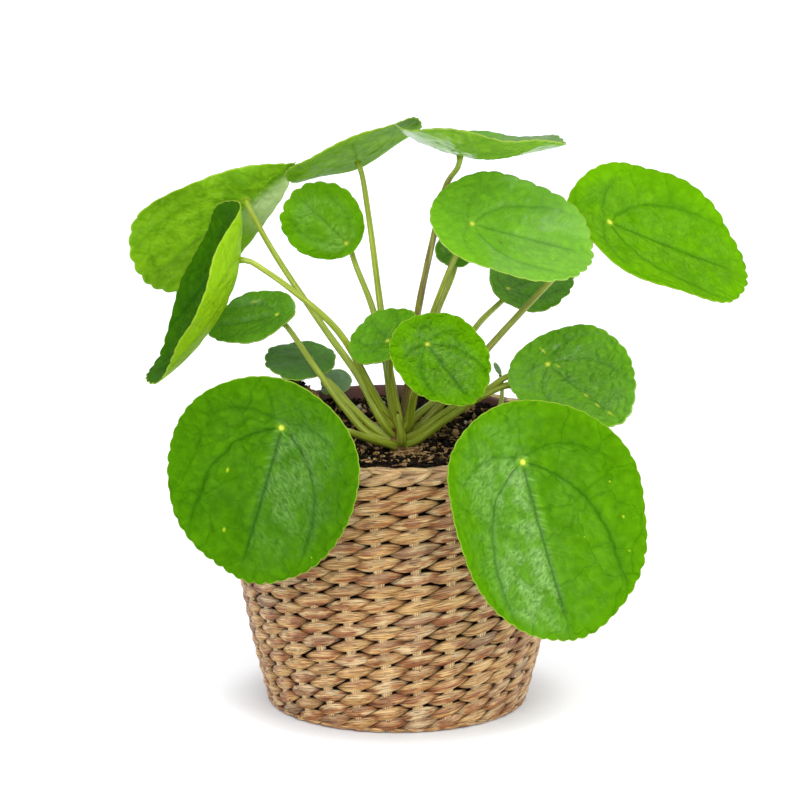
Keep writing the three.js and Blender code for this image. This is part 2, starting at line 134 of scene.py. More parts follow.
# How finely stalks are rounded, and how many dry scales stand on the trunk
STALK_SIDES = 14
TRUNK_SCALES = 16

# The rings of a blade's mesh and the points in each, after the length above which a leaf has them
BLADE_GRIDS = ((55, 36, 240), (15, 26, 132), (0, 10, 40))

# A leaf's form is as in the imported model: the place of its navel, the azimuth and height that it faces, its
# turn, its length and width, the share behind the navel, how far it is egg-shaped, folded, cupped and bent,
# the height at which its stalk starts and the places that the stalk runs by. The rest is its looks. `tone`
# runs from a dark green at 0 to a yellow-green at 1, `veins` is how dark its veins and the painted shade
# along them show, `pucker` how quilted it is and `stalk` how brown its stalk is. `haze` is an even gloss: a
# clear coat and a painted pale reflection. `sheen` is a crinkled one near the midrib: a clear coat with
# painted highlights and painted shade in its colour. It lies on the left half alone where `half` is 1 and on
# the right one where it is -1, and ends at `glow_end` along the blade. `point` narrows one end, `facet`
# paints a pale reflection on one facet of the lower side and `under` makes all of that side yellower.
# `scars` are small yellow marks, each by its place on the flat blade, half its width and its length against
# that. The half width is below 0 where the mark is brown.
Leaf = namedtuple("Leaf", "name navel faces turn length width back egg fold cup bend start via tone veins "
                          "pucker haze sheen half stalk point facet under scars glow_end",
                  defaults=(0.35, 0.8, 0, 0.2, 0, 0.1, 0, 0, 0, (), 1.4))
Shoot = namedtuple("Shoot", "name foot sprigs")

LEAVES = [
    Leaf("front_left", (-48.5, -76, 140.5), (-109, 4), -15, 88, 87, 0.23, -0.11, 9, 10, 5, 114,
         [(-3, -11, 116.5), (-13, -25, 123), (-24, -42, 131)],
         tone=0.17, veins=0.55, pucker=1, sheen=0.95, half=1, stalk=0, glow_end=0.85,
         scars=[(24.8, -17.1, 0.8, 1.6), (50.2, -11.6, 0.8, 1.6), (47.3, 30.2, 0.5, 1)]),
    Leaf("front_right", (53, -70, 124), (-61, 21), 5, 104, 97, 0.25, -0.06, 8, 17, 9, 115,
         [(8, -10, 118), (22, -12, 128.5), (36, -12, 138), (49, -11, 143), (55, -17, 139), (54, -34, 132),
          (52, -54, 127)],
         tone=0.4, veins=0.65, pucker=0.9, sheen=1.6, half=-1, stalk=0,
         scars=[(33.1, 37.1, 0.9, 1), (37.2, 17.9, 0.5, 1), (17, 35.5, 0.6, 1), (47.9, 34.7, 0.5, 1)]),
    Leaf("right_folded", (65, -10, 152), (-98, 48), 48, 61, 54, 0.22, -0.06, 25, 0, 17, 118,
         [(8, -9, 121), (23, -10, 132), (39, -11, 141), (48, -11, 147)], tone=0.6, haze=0.55, sheen=0.4,
         scars=[(-6.7, 3.1, 0.7, 4), (4.2, 2.4, 0.6, 3), (24.2, 0, 0.7, 4), (32.3, -0.5, 0.7, 3),
                (39.6, 0, 0.9, 3)]),
    Leaf("centre_front", (13, -42, 168.5), (-82, 45), 29, 48, 41, 0.3, -0.05, 8, 3, 0, 121,
         [(5, -12, 126), (7, -22, 141), (11, -32, 155)],
         tone=0.65, veins=0.45, pucker=1.7, sheen=0.5, stalk=0),
    Leaf("centre_rear", (-4, -23, 165.5), (-123, 51), -123, 28, 33, 0.38, -0.08, 2, 0, 16, 121,
         [(0, -9, 127), (-2, -13, 141), (-3, -17, 154)], tone=0.7, haze=0.25, stalk=0.2),
    Leaf("left_high", (-66, 30, 216), (107, 23), 48, 85, 60, 0.33, 0.27, 18, -12, -9, 118,
         [(-6, -9, 126), (-17, -1, 145), (-31, 8, 163), (-54, 22, 195)],
         tone=0.6, pucker=0.7, haze=0.1, sheen=0, stalk=0, point=0.33, facet=1),
    Leaf("left_cupped", (-68, -18, 200), (183, 9), -11, 96, 80, 0.26, -0.07, 25, 11, 68, 119,
         [(-9, -9, 137), (-25, -13, 167), (-45, -15, 186), (-58, -17, 196)],
         tone=-0.25, veins=0.4, sheen=0.1, stalk=0, point=-0.1, under=0.5),
    Leaf("left_mid", (-52, 7, 170), (-133, 55), -55, 40, 33, 0.22, -0.07, 10, -1, 20, 116,
         [(-12, -6, 120), (-23, -2, 131), (-36, 4, 148), (-48, 7, 165)],
         tone=0.6, veins=0.25, pucker=0.5, haze=0.9, sheen=0.1,
         scars=[(10.4, -10.8, 0.9, 3)]),
    Leaf("left_low", (-38, 22, 147), (-88, 69), -74, 31, 29, 0.36, 0.06, 2, -6, 4, 117,
         [(-9, -5, 122), (-20, 4, 130), (-27, 13, 136), (-33, 19, 140)],
         tone=0.1, veins=0.15, pucker=0.5, haze=0.6, sheen=0.1),
    Leaf("top_left", (-17.5, 22, 235), (134, 57), 139, 52, 63, 0.26, 0.01, 5, 0, 4, 115,
         [(2, -11, 119), (-3, -5, 147), (-7, 3, 173), (-12, 14, 210)], tone=0.5, haze=0.05),
    Leaf("top_right", (27, -12, 245), (38, 80), -89, 83, 71, 0.33, -0.13, 16, 9, 41, 122,
         [(4, -4, 136), (9, -3, 174), (16, -2, 208), (21, -2, 229)], tone=0.5, haze=0.75, stalk=1),
    Leaf("glossy", (-22, 20, 199), (-94, -8), -136, 37, 35, 0.13, 0.09, 4, 1, 2, 121,
         [(-2, -3, 131), (-5, 5, 150), (-11, 15, 172), (-18, 25, 188)],
         tone=0.9, veins=0.25, pucker=0.35, haze=0.05, sheen=0.8),
    Leaf("right_high", (32, -20, 216), (-64, 50), 63, 73, 58, 0.26, -0.04, 9, 9, 6, 120,
         [(6, -9, 132), (10, -12, 158), (19, -16, 186), (26, -19, 204)],
         tone=1, veins=0.4, pucker=0.35, haze=0.85, stalk=0.5,
         scars=[(13.3, -6.9, -1.1, 1)]),
    Leaf("far_right", (92, 16, 209), (-45, 45), 54, 90, 71, 0.23, -0.05, 9, 14, 1, 117,
         [(9, -7, 123), (19, -5, 133), (40, 2, 157), (66, 9, 184)],
         tone=0.75, veins=0.5, pucker=0.7, sheen=0.15, stalk=0.45),
    Leaf("rear_small", (28, 16, 198), (-70, 41), -66, 19, 17, 0.3, -0.02, 5, 5, 7, 122,
         [(6, -3, 133), (13, 2, 160), (19, 8, 175), (24, 13, 186)],
         tone=0.4, veins=0.2, haze=0.6, stalk=0.2),
    Leaf("rear_right", (48.5, 34, 175.5), (-69, 56), 102, 39, 34, 0.18, -0.13, 4, -5, 22, 118,
         [(8, -3, 127), (18, 4, 134), (34, 20, 161)], tone=0.8, veins=0.3, pucker=1, haze=0.5, sheen=0.3),
]

# The stems of the two side shoots, each with its foot and its tiny leaves
SHOOTS = [
    Shoot("shoot_left", (-25, 42), [
        Leaf("shoot_left_upper", (-25.5, 42, 132), (-80, 40), -80, 14, 12, 0.4, 0, 0, 4, 0, None,
             [(-25, 46, 127)], tone=0.3, veins=0.1, pucker=0.3, haze=0.8, sheen=0),
        Leaf("shoot_left_lower", (-31, 34, 131), (-120, 50), 30, 7, 5, 0.4, 0, 0, 4, 0, None,
             [(-28, 38, 126)], tone=0.3, veins=0.1, pucker=0.3, haze=0.8, sheen=0),
    ]),
    Shoot("shoot_right", (45, 29), [
        Leaf("shoot_right_leaf", (45, 30, 138.5), (-90, 10), -152, 6, 2.4, 0.15, 0, 4, 0, 0, None,
             [(46, 32, 128), (46, 34, 133)], tone=0.8, veins=0.1, pucker=0.3, haze=0.8, sheen=0),
    ]),
]

# A leaf's deeper and lighter greens, its veins and the painted highlight of its sheen as seen on screen, at
# tone 0 and at tone 1
GREENS = (((46, 94, 2), (88, 150, 0)), ((74, 130, 6), (120, 186, 4)),
          ((22, 76, 2), (50, 116, 0)), ((124, 178, 84), (166, 216, 96)))
YOUNG_GREENS = (((66, 98, 62), (130, 160, 122)), ((84, 116, 78), (176, 204, 164)),
                ((46, 94, 2), (88, 150, 0)), ((124, 178, 84), (166, 216, 96)))


# Shader maths

class Shade:
    """An output of a material's node, on which Python arithmetic adds Math nodes."""

    def __init__(self, finish, socket):
        self.finish = finish
        self.socket = socket

    def __abs__(self):
        return self.finish.maths("ABSOLUTE", self)


def add_operator(name, operation):
    """Lets a Shade stand on either side of a Python operator."""
    setattr(Shade, f"__{name}__", lambda self, other: self.finish.maths(operation, self, other))
    setattr(Shade, f"__r{name}__", lambda self, other: self.finish.maths(operation, other, self))


for operator_name, node_operation in (("add", "ADD"), ("sub", "SUBTRACT"), ("mul", "MULTIPLY"),
                                      ("truediv", "DIVIDE"), ("pow", "POWER")):
    add_operator(operator_name, node_operation)


class Finish:
    """A material under construction, with its Principled shader and the colour laid so far."""

    def __init__(self, name, colour=None):
        self.colour = colour
        self.material = bpy.data.materials.new(name)
        self.material.use_nodes = True
        self.tree = self.material.node_tree
        self.tree.nodes.clear()
        output = self.tree.nodes.new("ShaderNodeOutputMaterial")
        self.shader = self.tree.nodes.new("ShaderNodeBsdfPrincipled")
        self.tree.links.new(self.shader.outputs[0], output.inputs["Surface"])

    def node(self, kind, settings=None, inputs=None, output=0):
        """Adds a node: its settings first, then the values or links of its sockets."""
        node = self.tree.nodes.new(kind)
        for key, value in (settings or {}).items():
            setattr(node, key, value)
        for key, value in (inputs or {}).items():
            self.put(node.inputs[key], value)
        return Shade(self, node.outputs[output])

    def put(self, socket, value):
        """Links a Shade to a socket or gives the socket a value."""
        if isinstance(value, Shade):
            self.tree.links.new(value.socket, socket)
        elif socket.type == "RGBA":
            socket.default_value = (*value[:3], 1)
        else:
            socket.default_value = value

    def set(self, **values):
        """Sets the Principled shader's sockets, with underscores for spaces."""
        for key, value in values.items():
            self.put(self.shader.inputs[key.replace("_", " ")], value)

    def maths(self, operation, *values):
        return self.node("ShaderNodeMath", {"operation": operation}, dict(enumerate(values)))

    def mix(self, factor, a, b):
        settings = {"data_type": "RGBA", "clamp_factor": True}
        return self.node("ShaderNodeMix", settings, {0: factor, 6: a, 7: b}, 2)

    def lay(self, colour, amount, *limits):
        """Lays a colour over the others by an amount, or by the fade of it between the limits."""
        factor = self.fade(amount, *limits) if limits else amount
        self.colour = self.mix(factor, self.colour, colour)

    def attribute(self, name, output="Vector"):
        return self.node("ShaderNodeAttribute", {"attribute_name": name}, output=output)

    def place(self):
        """The place on the object, in metres."""
        return self.node("ShaderNodeTexCoord", output="Object")

    def distance(self, x, y):
        return self.maths("SQRT", x * x + y * y)

    def split(self, vector):
        """A vector's three parts."""
        node = self.tree.nodes.new("ShaderNodeSeparateXYZ")
        self.put(node.inputs[0], vector)
        return [Shade(self, socket) for socket in node.outputs]

    def join(self, x, y, z):
        return self.node("ShaderNodeCombineXYZ", None, {0: x, 1: y, 2: z})

    def noise(self, vector, scale, detail=2, roughness=0.5):
        inputs = {"Vector": vector, "Scale": scale, "Detail": detail, "Roughness": roughness}
        return self.node("ShaderNodeTexNoise", None, inputs)

    def cells(self, vector, scale, feature, randomness=1.0):
        inputs = {"Vector": vector, "Scale": scale, "Randomness": randomness}
        return self.node("ShaderNodeTexVoronoi", {"feature": feature}, inputs)

    def fade(self, value, start, end, first=1.0, last=0.0):
        """Runs smoothly from `first` where the value is at `start` to `last` at `end`."""
        settings = {"interpolation_type": "SMOOTHSTEP"}
        inputs = {"Value": value, "From Min": start, "From Max": end, "To Min": first, "To Max": last}
        return self.node("ShaderNodeMapRange", settings, inputs)

    def most(self, *values):
        """The greatest of some values."""
        result = values[0]
        for value in values[1:]:
            result = self.maths("MAXIMUM", result, value)
        return result

    def bump(self, height, strength=1.0):
        """A normal from a height in millimetres."""
        inputs = {"Height": height, "Distance": MM, "Strength": strength}
        self.set(Normal=self.node("ShaderNodeBump", None, inputs))


def rgb(red, green, blue):
    """A linear colour from one seen on screen, each part from 0 to 255."""
    return tuple((c / 255 / 12.92) if c <= 10 else ((c / 255 + 0.055) / 1.055) ** 2.4
                 for c in (red, green, blue))


# Meshes

class Shape:
    """Points, faces and per-point values of one piece, in millimetres."""

    def __init__(self):
        self.points = []
        self.faces = []
        self.values = {}

    def add(self, points, faces, **values):
        start = len(self.points)
        self.points.extend(tuple(p) for p in points)
        self.faces.extend(tuple(start + i for i in face) for face in faces)
        for key, value in values.items():
            self.values.setdefault(key, []).extend(value)

    def tube(self, rings, closed=False, **values):
        """Joins rings of as many points each: end to start if closed, or else with a cap at both ends."""
        count = len(rings[0])
        total = len(rings) * count
        faces = []
        for i in range(0, total if closed else total - count, count):
            for j in range(count):
                k = (j + 1) % count
                n = (i + count) % total
                faces.append((i + j, i + k, n + k, n + j))
        if not closed:
            faces.append(tuple(reversed(range(count))))
            faces.append(tuple(range(total - count, total)))
        self.add([p for ring in rings for p in ring], faces, **values)

    def piece(self, name, finish, slot, *nodes):
        """Makes the object, which rides on the part and stands for the given nodes."""
        mesh = bpy.data.meshes.new(name)
        mesh.from_pydata((np.array(self.points, dtype=float) * MM).tolist(), [], self.faces)
        for key, value in self.values.items():
            value = np.array(value, dtype=np.float32)
            kind, field = ("FLOAT_VECTOR", "vector") if value.ndim == 2 else ("FLOAT", "value")
            mesh.attributes.new(key, kind, "POINT").data.foreach_set(field, value.ravel())
        mesh.shade_smooth()
        mesh.materials.append(finish.material)
        piece = placed(name, mesh)
        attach(piece, "root")
        if nodes:
            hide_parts(*nodes)


def placed(name, data):
    """A new object in the scene."""
    thing = bpy.data.objects.new(name, data)
    bpy.context.scene.collection.objects.link(thing)
    return thing


def circle(count):
    """The angles of places evenly round a circle."""
    return [2 * pi * j / count for j in range(count)]


def turned(radius, angle, z):
    """A place at a radius and an angle from the axis."""
    return (radius * cos(angle), radius * sin(angle), z)


def unit(vector):
    """The vector with a length of 1."""
    return vector / np.linalg.norm(vector)


def jitter(x, y, z=0.0):
    """Smooth noise from -1 to 1 that is the same on each run."""
    return noise.noise(Vector((x, y, z)))


# Leaves

def leaf_frame(leaf):
    """The blade's tip, left and upper directions."""
    azimuth, elevation = (radians(a) for a in leaf.faces)
    up = np.array(turned(cos(elevation), azimuth, sin(elevation)))
    downhill = unit(np.array([0, 0, -1.0]) + up * up[2])
    turn = radians(leaf.turn)
    tip = downhill * cos(turn) + np.cross(up, downhill) * sin(turn)
    return tip, np.cross(up, tip), up


def blade_flat(leaf, share, angle):
    """The place of a blade's point when the blade lies flat: along it and across it."""
    ahead = cos(angle)
    aside = sin(angle)
    scallops = round(pi * leaf.width / SCALLOP_SPACING)
    wave = 2 * abs(cos(scallops * angle / 2)) ** 0.8 - 1
    uneven = 1 + 0.7 * jitter(3 * ahead, 3 * aside, leaf.length)
    broad = 1.1 * jitter(2.2 * ahead, 2.2 * aside, leaf.length + 5)
    scallop = 1 + (SCALLOP_DEPTH * uneven * wave * share ** 10 + broad * share ** 3) / max(30, leaf.width)
    narrowing = ((1 + copysign(1, leaf.point) * ahead) / 2) ** abs(leaf.point)
    along = share * scallop * leaf.length / 2 * (1 - 2 * leaf.back + ahead)
    return along, share * scallop * leaf.width / 2 * aside * (1 + leaf.egg * ahead) * narrowing


def blade_raised(leaf, along, across, lift):
    """Folds, cups and bends a flat place into the blade's form."""
    y = 0.0
    z = lift
    for k in range(SECTION_STEPS):
        reach = abs(across) * (k + 0.5) / SECTION_STEPS
        slope = (radians(leaf.fold) * (1 - exp(-reach / (FOLD_WIDTH * leaf.width)))
                 + radians(leaf.cup) * reach / (leaf.width / 2))
        y += cos(slope) * across / SECTION_STEPS
        z += sin(slope) * abs(across) / SECTION_STEPS
    bend = radians(leaf.bend or LEAST_BEND)
    bent = bend * along / leaf.length
    radius = leaf.length / bend
    return (radius * sin(bent) - z * sin(bent), y,
            radius * (1 - cos(bent)) + z * cos(bent))


def arch_place(ahead, decay):
    """How far across the arched side vein runs, as a share of half the width, for numbers and Shades."""
    return 0.66 * (1 - decay) - 0.12 * ahead ** 3


def outer_gap(s, v):
    """How far a place is from the outer side vein, as a share of the length, for numbers and Shades."""
    return abs(s + 0.03 + 0.12 * v - 0.5 * v ** 3)


def vein_distances(leaf, along, across):
    """How far a flat place is from the arched side veins and from the outer ones."""
    front = leaf.length * (1 - leaf.back)
    half = leaf.width / 2
    s = along / front
    v = abs(across) / half
    ahead = max(s, 0)
    arched = abs(v - arch_place(ahead, exp(-5 * ahead))) * half * 0.8 if s > -0.02 else 99
    return arched, outer_gap(s, v) * front * 0.9


def pucker(leaf, along, across, share):
    """How far the blade's surface stands above its even form."""
    size = leaf.length
    arched, outer = vein_distances(leaf, along, across)
    edge = 1 - share ** 5
    depth = leaf.pucker * min(1.0, size / 60)
    off_navel = 1 - exp(-(along ** 2 + across ** 2) / 16)
    groove = exp(-(across / 1.9) ** 2) * exp(min(0, along) / 3)
    groove += 0.65 * exp(-(arched / 1.8) ** 2)
    groove += 0.4 * exp(-(outer / 1.8) ** 2)
    groove *= edge * off_navel
    quilt = 0.55 * jitter(along / 6.5, across / 6.5, size)
    quilt += 0.36 * jitter(along / 3.1, across / 3.1, size + 7)
    quilt += 0.4 * jitter(along / 2.3, across / 5.5, size + 11) * exp(-(across / (0.28 * size)) ** 2)
    broad = size / 110 * jitter(along / 19, across / 19, size + 3) * share
    dimple = 0.3 * exp(-(along ** 2 + across ** 2) / 9)
    return depth * (quilt * min(1, share * 3) * edge - groove) + broad - dimple


def leaf_shape(leaf):
    """A blade as two skins on rings of points round its navel, joined at the rim."""
    rings, count = next(grid[1:] for grid in BLADE_GRIDS if leaf.length > grid[0])
    tip, left, up = leaf_frame(leaf)
    navel = np.array(leaf.navel, dtype=float)

    flat = []
    angles = circle(count)
    rims = [hypot(*blade_flat(leaf, 1, angle)) for angle in angles]
    for share in [0] + [((i + 1) / rings) ** 0.85 for i in range(rings)]:
        thick = BLADE_THICKNESS / 2 * (1 - 0.45 * share ** 3)
        for angle, rim in zip(angles if share else [0], rims):
            along, across = blade_flat(leaf, share, angle)
            ripple = RIPPLE_DEPTH * leaf.length * sin(RIPPLE_WAVES * angle + leaf.length)
            lift = ripple * share ** 3 + pucker(leaf, along, across, share)
            flat.append((along, across, lift, thick, (1 - share) * rim))

    points = []
    blade = []
    side = []
    for above in (-1, 1):
        for along, across, lift, thick, edge in flat:
            x, y, z = blade_raised(leaf, along, across, lift + above * thick)
            points.append(navel + tip * x + left * y + up * z)
            blade.append((along, across, edge))
            side.append((1 + above) / 2)

    faces = []

    def index(above, ring, j):
        return above * len(flat) + (1 + (ring - 1) * count + j % count if ring else 0)

    for above in (0, 1):
        for ring in range(rings):
            for j in range(count):
                face = [index(above, ring, j), index(above, ring + 1, j), index(above, ring + 1, j + 1)]
                if ring:
                    face.append(index(above, ring, j + 1))
                faces.append(face if above else face[::-1])
    for j in range(count):
        faces.append((index(0, rings, j), index(0, rings, j + 1),
                      index(1, rings, j + 1), index(1, rings, j)))
    shape = Shape()
    shape.add(points, faces, blade=blade, side=side)
    return shape


def leaf_finish(leaf, settings, young=False):
    """Waxy green skin with dark sunken veins above, paler below, a thin yellow rim, painted sheen and painted
    shade.
    """
    greens = YOUNG_GREENS if young else GREENS
    deep, light, vein_colour, sheen_highlight = [rgb(*[a + (b - a) * leaf.tone for a, b in zip(dark, bright)])
                                        for dark, bright in greens]
    finish = Finish("skin_of_" + leaf.name, deep)
    fade, join = finish.fade, finish.join
    front = leaf.length * (1 - leaf.back)
    half = leaf.width / 2
    upper = finish.attribute("side", "Fac")
    x, y, edge = finish.split(finish.attribute("blade"))
    sheet = join(x, y, leaf.length)

    sway = (finish.noise(sheet, 0.09, 1) - 0.5) * 3.6
    sway_fine = (finish.noise(sheet, 0.35, 1) - 0.5) * 1.2
    along = x + sway * 0.8 + sway_fine
    across = y + (sway - sway_fine) * fade(abs(y), 0, 10, 0.1, 0.8)
    s = along / front
    v = abs(across) / half
    ahead = finish.most(s, 0)
    arch = arch_place(ahead, finish.maths("EXPONENT", ahead * -5))
    midrib = fade(x, -5, -1, 0, 1) * fade(x / front, 0.75, 0.97)
    veins = ((abs(across), midrib),
             (abs(v - arch) * (half * 0.8), fade(s, 0.6, 0.95, 0.8, 0.05) * fade(s, -0.02, 0.01, 0, 1)),
             (outer_gap(s, v) * (front * 0.9), fade(v, 0.4, 0.85, 0.6, 0.05)),
             (abs(v + 0.42 * s) * half, fade(x, -9, -2, 0, 0.4) * fade(s, -0.02, 0, 1, 0)))

    def vein_lines(narrow, wide):
        return finish.most(*[fade(gap, narrow, wide) * strength for gap, strength in veins])

    main = vein_lines(0.05, 0.9)
    groove = vein_lines(0.3, 2.6)
    shoulder = vein_lines(1.2, 4.2)
    swayed = join(along, across, leaf.length)
    mesh = 95 / (60 + leaf.length)
    wobble = (finish.noise(sheet, 0.16, 1) - 0.5) * 9
    bent = join(along + wobble, across - wobble, leaf.length)
    net = fade(finish.cells(bent, 0.085 * mesh, "DISTANCE_TO_EDGE", 0.8), 0.0, 0.075 * mesh)
    cell = finish.cells(swayed, 0.42 * mesh, "F1")
    blister = fade(finish.cells(swayed, 0.26 * mesh, "DISTANCE_TO_EDGE"), 0, 0.38, 0, 1)
    mottle = finish.noise(sheet, 0.06, 3)
    medium = finish.noise(sheet, 0.24, 2)
    grain = finish.noise(sheet, 0.8, 2)
    crinkle = finish.noise(join((along - abs(across) * 0.4) * 0.7, across * 0.36, leaf.length), 1.0, 3, 0.6)
    ridges = finish.noise(join((along - abs(across) * 0.5) * 0.5, across * 0.04, leaf.length), 1.0, 1)
    patches = finish.noise(join(along, across, leaf.length + 40), 0.12, 3)
    # Where the leaf is glossy: a clear coat there, and painted highlights and painted shade in its colour.
    gloss = fade(abs(v), 0.34, 0.85, 1, 0.12) * fade(patches, 0.34, 0.6, 0.2, 1)
    gloss = finish.most(gloss, shoulder * 0.5) * fade(edge, 2, 9, 0.1, 1)
    if leaf.half:
        blend = finish.most(x * -0.9, 0) + 2.5
        gloss = gloss * fade(across * leaf.half / blend, -1.2, 0.8, 0.1, 1)
        gloss = gloss * fade(x, -10, 6, 0.3, 1)
        gloss = gloss * fade(s, leaf.glow_end - 0.4, leaf.glow_end, 1, 0.2)

    # The upper side
    finish.lay(light, mottle * 0.5 + medium * 0.5, 0.32, 0.68, 0.2, 0.8)
    finish.lay(light, edge, 0, 12, 0.4, 0)
    # Painted shade in the hollows between the blisters.
    finish.lay(deep, blister, 0, 0.6, 0.25, 0)
    # Painted shade in the troughs of the crinkles, then painted highlights on their crests.
    finish.lay(vein_colour, gloss * fade(crinkle, 0.3, 0.44) * (0.5 * leaf.sheen))
    finish.lay(sheen_highlight, gloss * fade(crinkle, 0.36, 0.74, 0.15, 1) * (0.62 * leaf.sheen))
    beside = finish.most(fade(abs(across), 1, 4.5) * midrib, shoulder * gloss)
    # Painted highlights on the small ridges beside the veins.
    tick_highlights = fade(ridges, 0.5, 0.62, 0.2, 1) * beside * fade(s, 0.1, 0.8)
    finish.lay(sheen_highlight, tick_highlights * (0.4 * leaf.sheen))
    # Dark vein colour spread wide along the sunken veins: partly their own colour, partly painted shade in
    # the grooves.
    finish.lay(vein_colour, groove * (leaf.veins * 0.5))
    # The net veins fade under the painted sheen.
    clear_net = net * fade(gloss, 0.2, 0.8, 1, 0.3)
    finish.lay(vein_colour, finish.most(main * leaf.veins, clear_net * (leaf.veins * 0.45)))
    around = finish.distance(x, y)
    spot = min(1.7, 0.8 + leaf.length / 125)
    if not young:
        for place_x, place_y, radius, stretch in leaf.scars:
            blot = radius * (grain * 1.4 + 0.3)
            gap = finish.distance((x - place_x) / stretch, y - place_y) / abs(blot)
            mark = rgb(196, 214, 50) if radius > 0 else rgb(86, 60, 30)
            finish.lay(mark, gap, 0.1, 1.2, 0.66, 0)
        finish.lay(rgb(140, 186, 30), around, spot * 0.6, spot * 2.2, 0.5, 0)
        finish.lay(rgb(216, 226, 82), around, spot * 0.4, spot * 1.1)

    above = finish.colour

    # The lower side
    finish.colour = rgb(100, 152, 6)
    finish.lay(rgb(128, 180, 20), mottle * 0.6 + medium * 0.4, 0.35, 0.65, 0, 1)
    finish.lay(rgb(168, 216, 20), leaf.under)
    finish.lay(rgb(176, 210, 100), crinkle, 0.45, 0.7, 0, 0.12)
    finish.lay(rgb(70, 126, 0), finish.most(groove * 0.3, main * 0.4, net * 0.25))
    # A painted pale reflection on one facet of the lower side.
    finish.lay(rgb(216, 234, 172), fade(y, -8, 0) * fade(x, -8, 14) * leaf.facet * 0.9)
    finish.lay(rgb(190, 212, 60), around, spot * 0.5, spot * 2)

    finish.lay(above, upper)
    # A painted pale reflection for the even gloss of hazy leaves.
    finish.lay(rgb(190, 214, 180), 0.04 * leaf.haze)
    finish.lay(settings.rim_colour, fade(edge, 0.1, 0.5) * 0.6)
    height = (0.6 - cell) * 0.3 + blister * 0.8 + crinkle * (gloss * 2.4 + 0.4) + grain * 0.2
    height = (height - main * 0.35 - net * 0.15) * leaf.pucker
    finish.bump(height * fade(upper, 0.4, 0.6, -0.5, 1), 0.9)
    coat = gloss * upper * (0.4 * leaf.sheen) + 0.9 * leaf.haze
    finish.set(Base_Color=finish.colour, Roughness=settings.gloss_roughness + (0.12 if young else 0),
               Coat_Weight=finish.maths("MINIMUM", coat, 1), Coat_Roughness=0.3 - 0.12 * leaf.haze,
               Subsurface_Weight=0.1, Subsurface_Radius=(0.4, 1.0, 0.05), Subsurface_Scale=0.002,
               Specular_IOR_Level=0.01)
    return finish


def build_leaf(leaf, settings, slot, young=False):
    """Makes a blade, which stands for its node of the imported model."""
    finish = leaf_finish(leaf, settings, young)
    leaf_shape(leaf).piece("blade_" + leaf.name, finish, slot, "leaf_" + leaf.name)


class LeafSettings(bpy.types.PropertyGroup):
    rim_colour: bpy.props.FloatVectorProperty(
        name="Rim colour", description="Colour of the thin edge of each leaf", subtype="COLOR", size=3,
        min=0, max=1, default=rgb(176, 200, 70))
    gloss_roughness: bpy.props.FloatProperty(
        name="Roughness", description="Roughness of the waxy upper side", default=0.36, min=0, max=1,
        subtype="FACTOR")


class PILEA_OT_leaves(bpy.types.Operator):
    """Builds the sixteen round leaves"""
    bl_idname = "pilea.leaves"
    bl_label = "Build Leaves"

    def execute(self, context):
        for leaf in LEAVES:
            build_leaf(leaf, context.scene.pilea_leaves, "leaf_green")
        return {"FINISHED"}


class PILEA_OT_young_leaves(bpy.types.Operator):
    """Builds the tiny leaves of the two side shoots"""
    bl_idname = "pilea.young_leaves"
    bl_label = "Build Young Leaves"

    def execute(self, context):
        for shoot in SHOOTS:
            for leaf in shoot.sprigs:
                build_leaf(leaf, context.scene.pilea_leaves, "young_leaf_green", young=True)
        return {"FINISHED"}


# Stems

def smooth_path(places, steps):
    """Places at even steps along a centripetal Catmull-Rom curve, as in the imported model."""
    p = [np.array(q, dtype=float) for q in places]
    p = [2 * p[0] - p[1]] + p + [2 * p[-1] - p[-2]]
    dense = []
    for i in range(1, len(p) - 2):
        d0, d1, d2 = [max(np.linalg.norm(p[i + k] - p[i + k - 1]) ** 0.5, 1e-4) for k in range(3)]
        t1 = (p[i] - p[i - 1]) / d0 - (p[i + 1] - p[i - 1]) / (d0 + d1) + (p[i + 1] - p[i]) / d1
        t2 = (p[i + 1] - p[i]) / d1 - (p[i + 2] - p[i]) / (d1 + d2) + (p[i + 2] - p[i + 1]) / d2
        t1 = t1 * d1
        t2 = t2 * d1
        for k in range(16):
            t = k / 16
            dense.append(p[i] + t1 * t + (-3 * p[i] + 3 * p[i + 1] - 2 * t1 - t2) * t ** 2
                         + (2 * p[i] - 2 * p[i + 1] + t1 + t2) * t ** 3)
    dense.append(p[-2])
    dense = np.array(dense)
    lengths = np.concatenate([[0], np.cumsum(np.linalg.norm(np.diff(dense, axis=0), axis=1))])
    marks = np.linspace(0, lengths[-1], steps + 1)
    return np.stack([np.interp(marks, lengths, dense[:, k]) for k in range(3)], axis=1), lengths[-1]


def path_frames(path):
    """Directions across a path that turn as little as they can."""
    tangents = [unit(t) for t in np.gradient(path, axis=0)]
    across = unit(np.cross(tangents[0], [0.3, 0.2, 1.0]))
    frames = []
    for tangent in tangents:
        across = unit(across - tangent * np.dot(across, tangent))
        frames.append((across, np.cross(tangent, across)))
    return frames


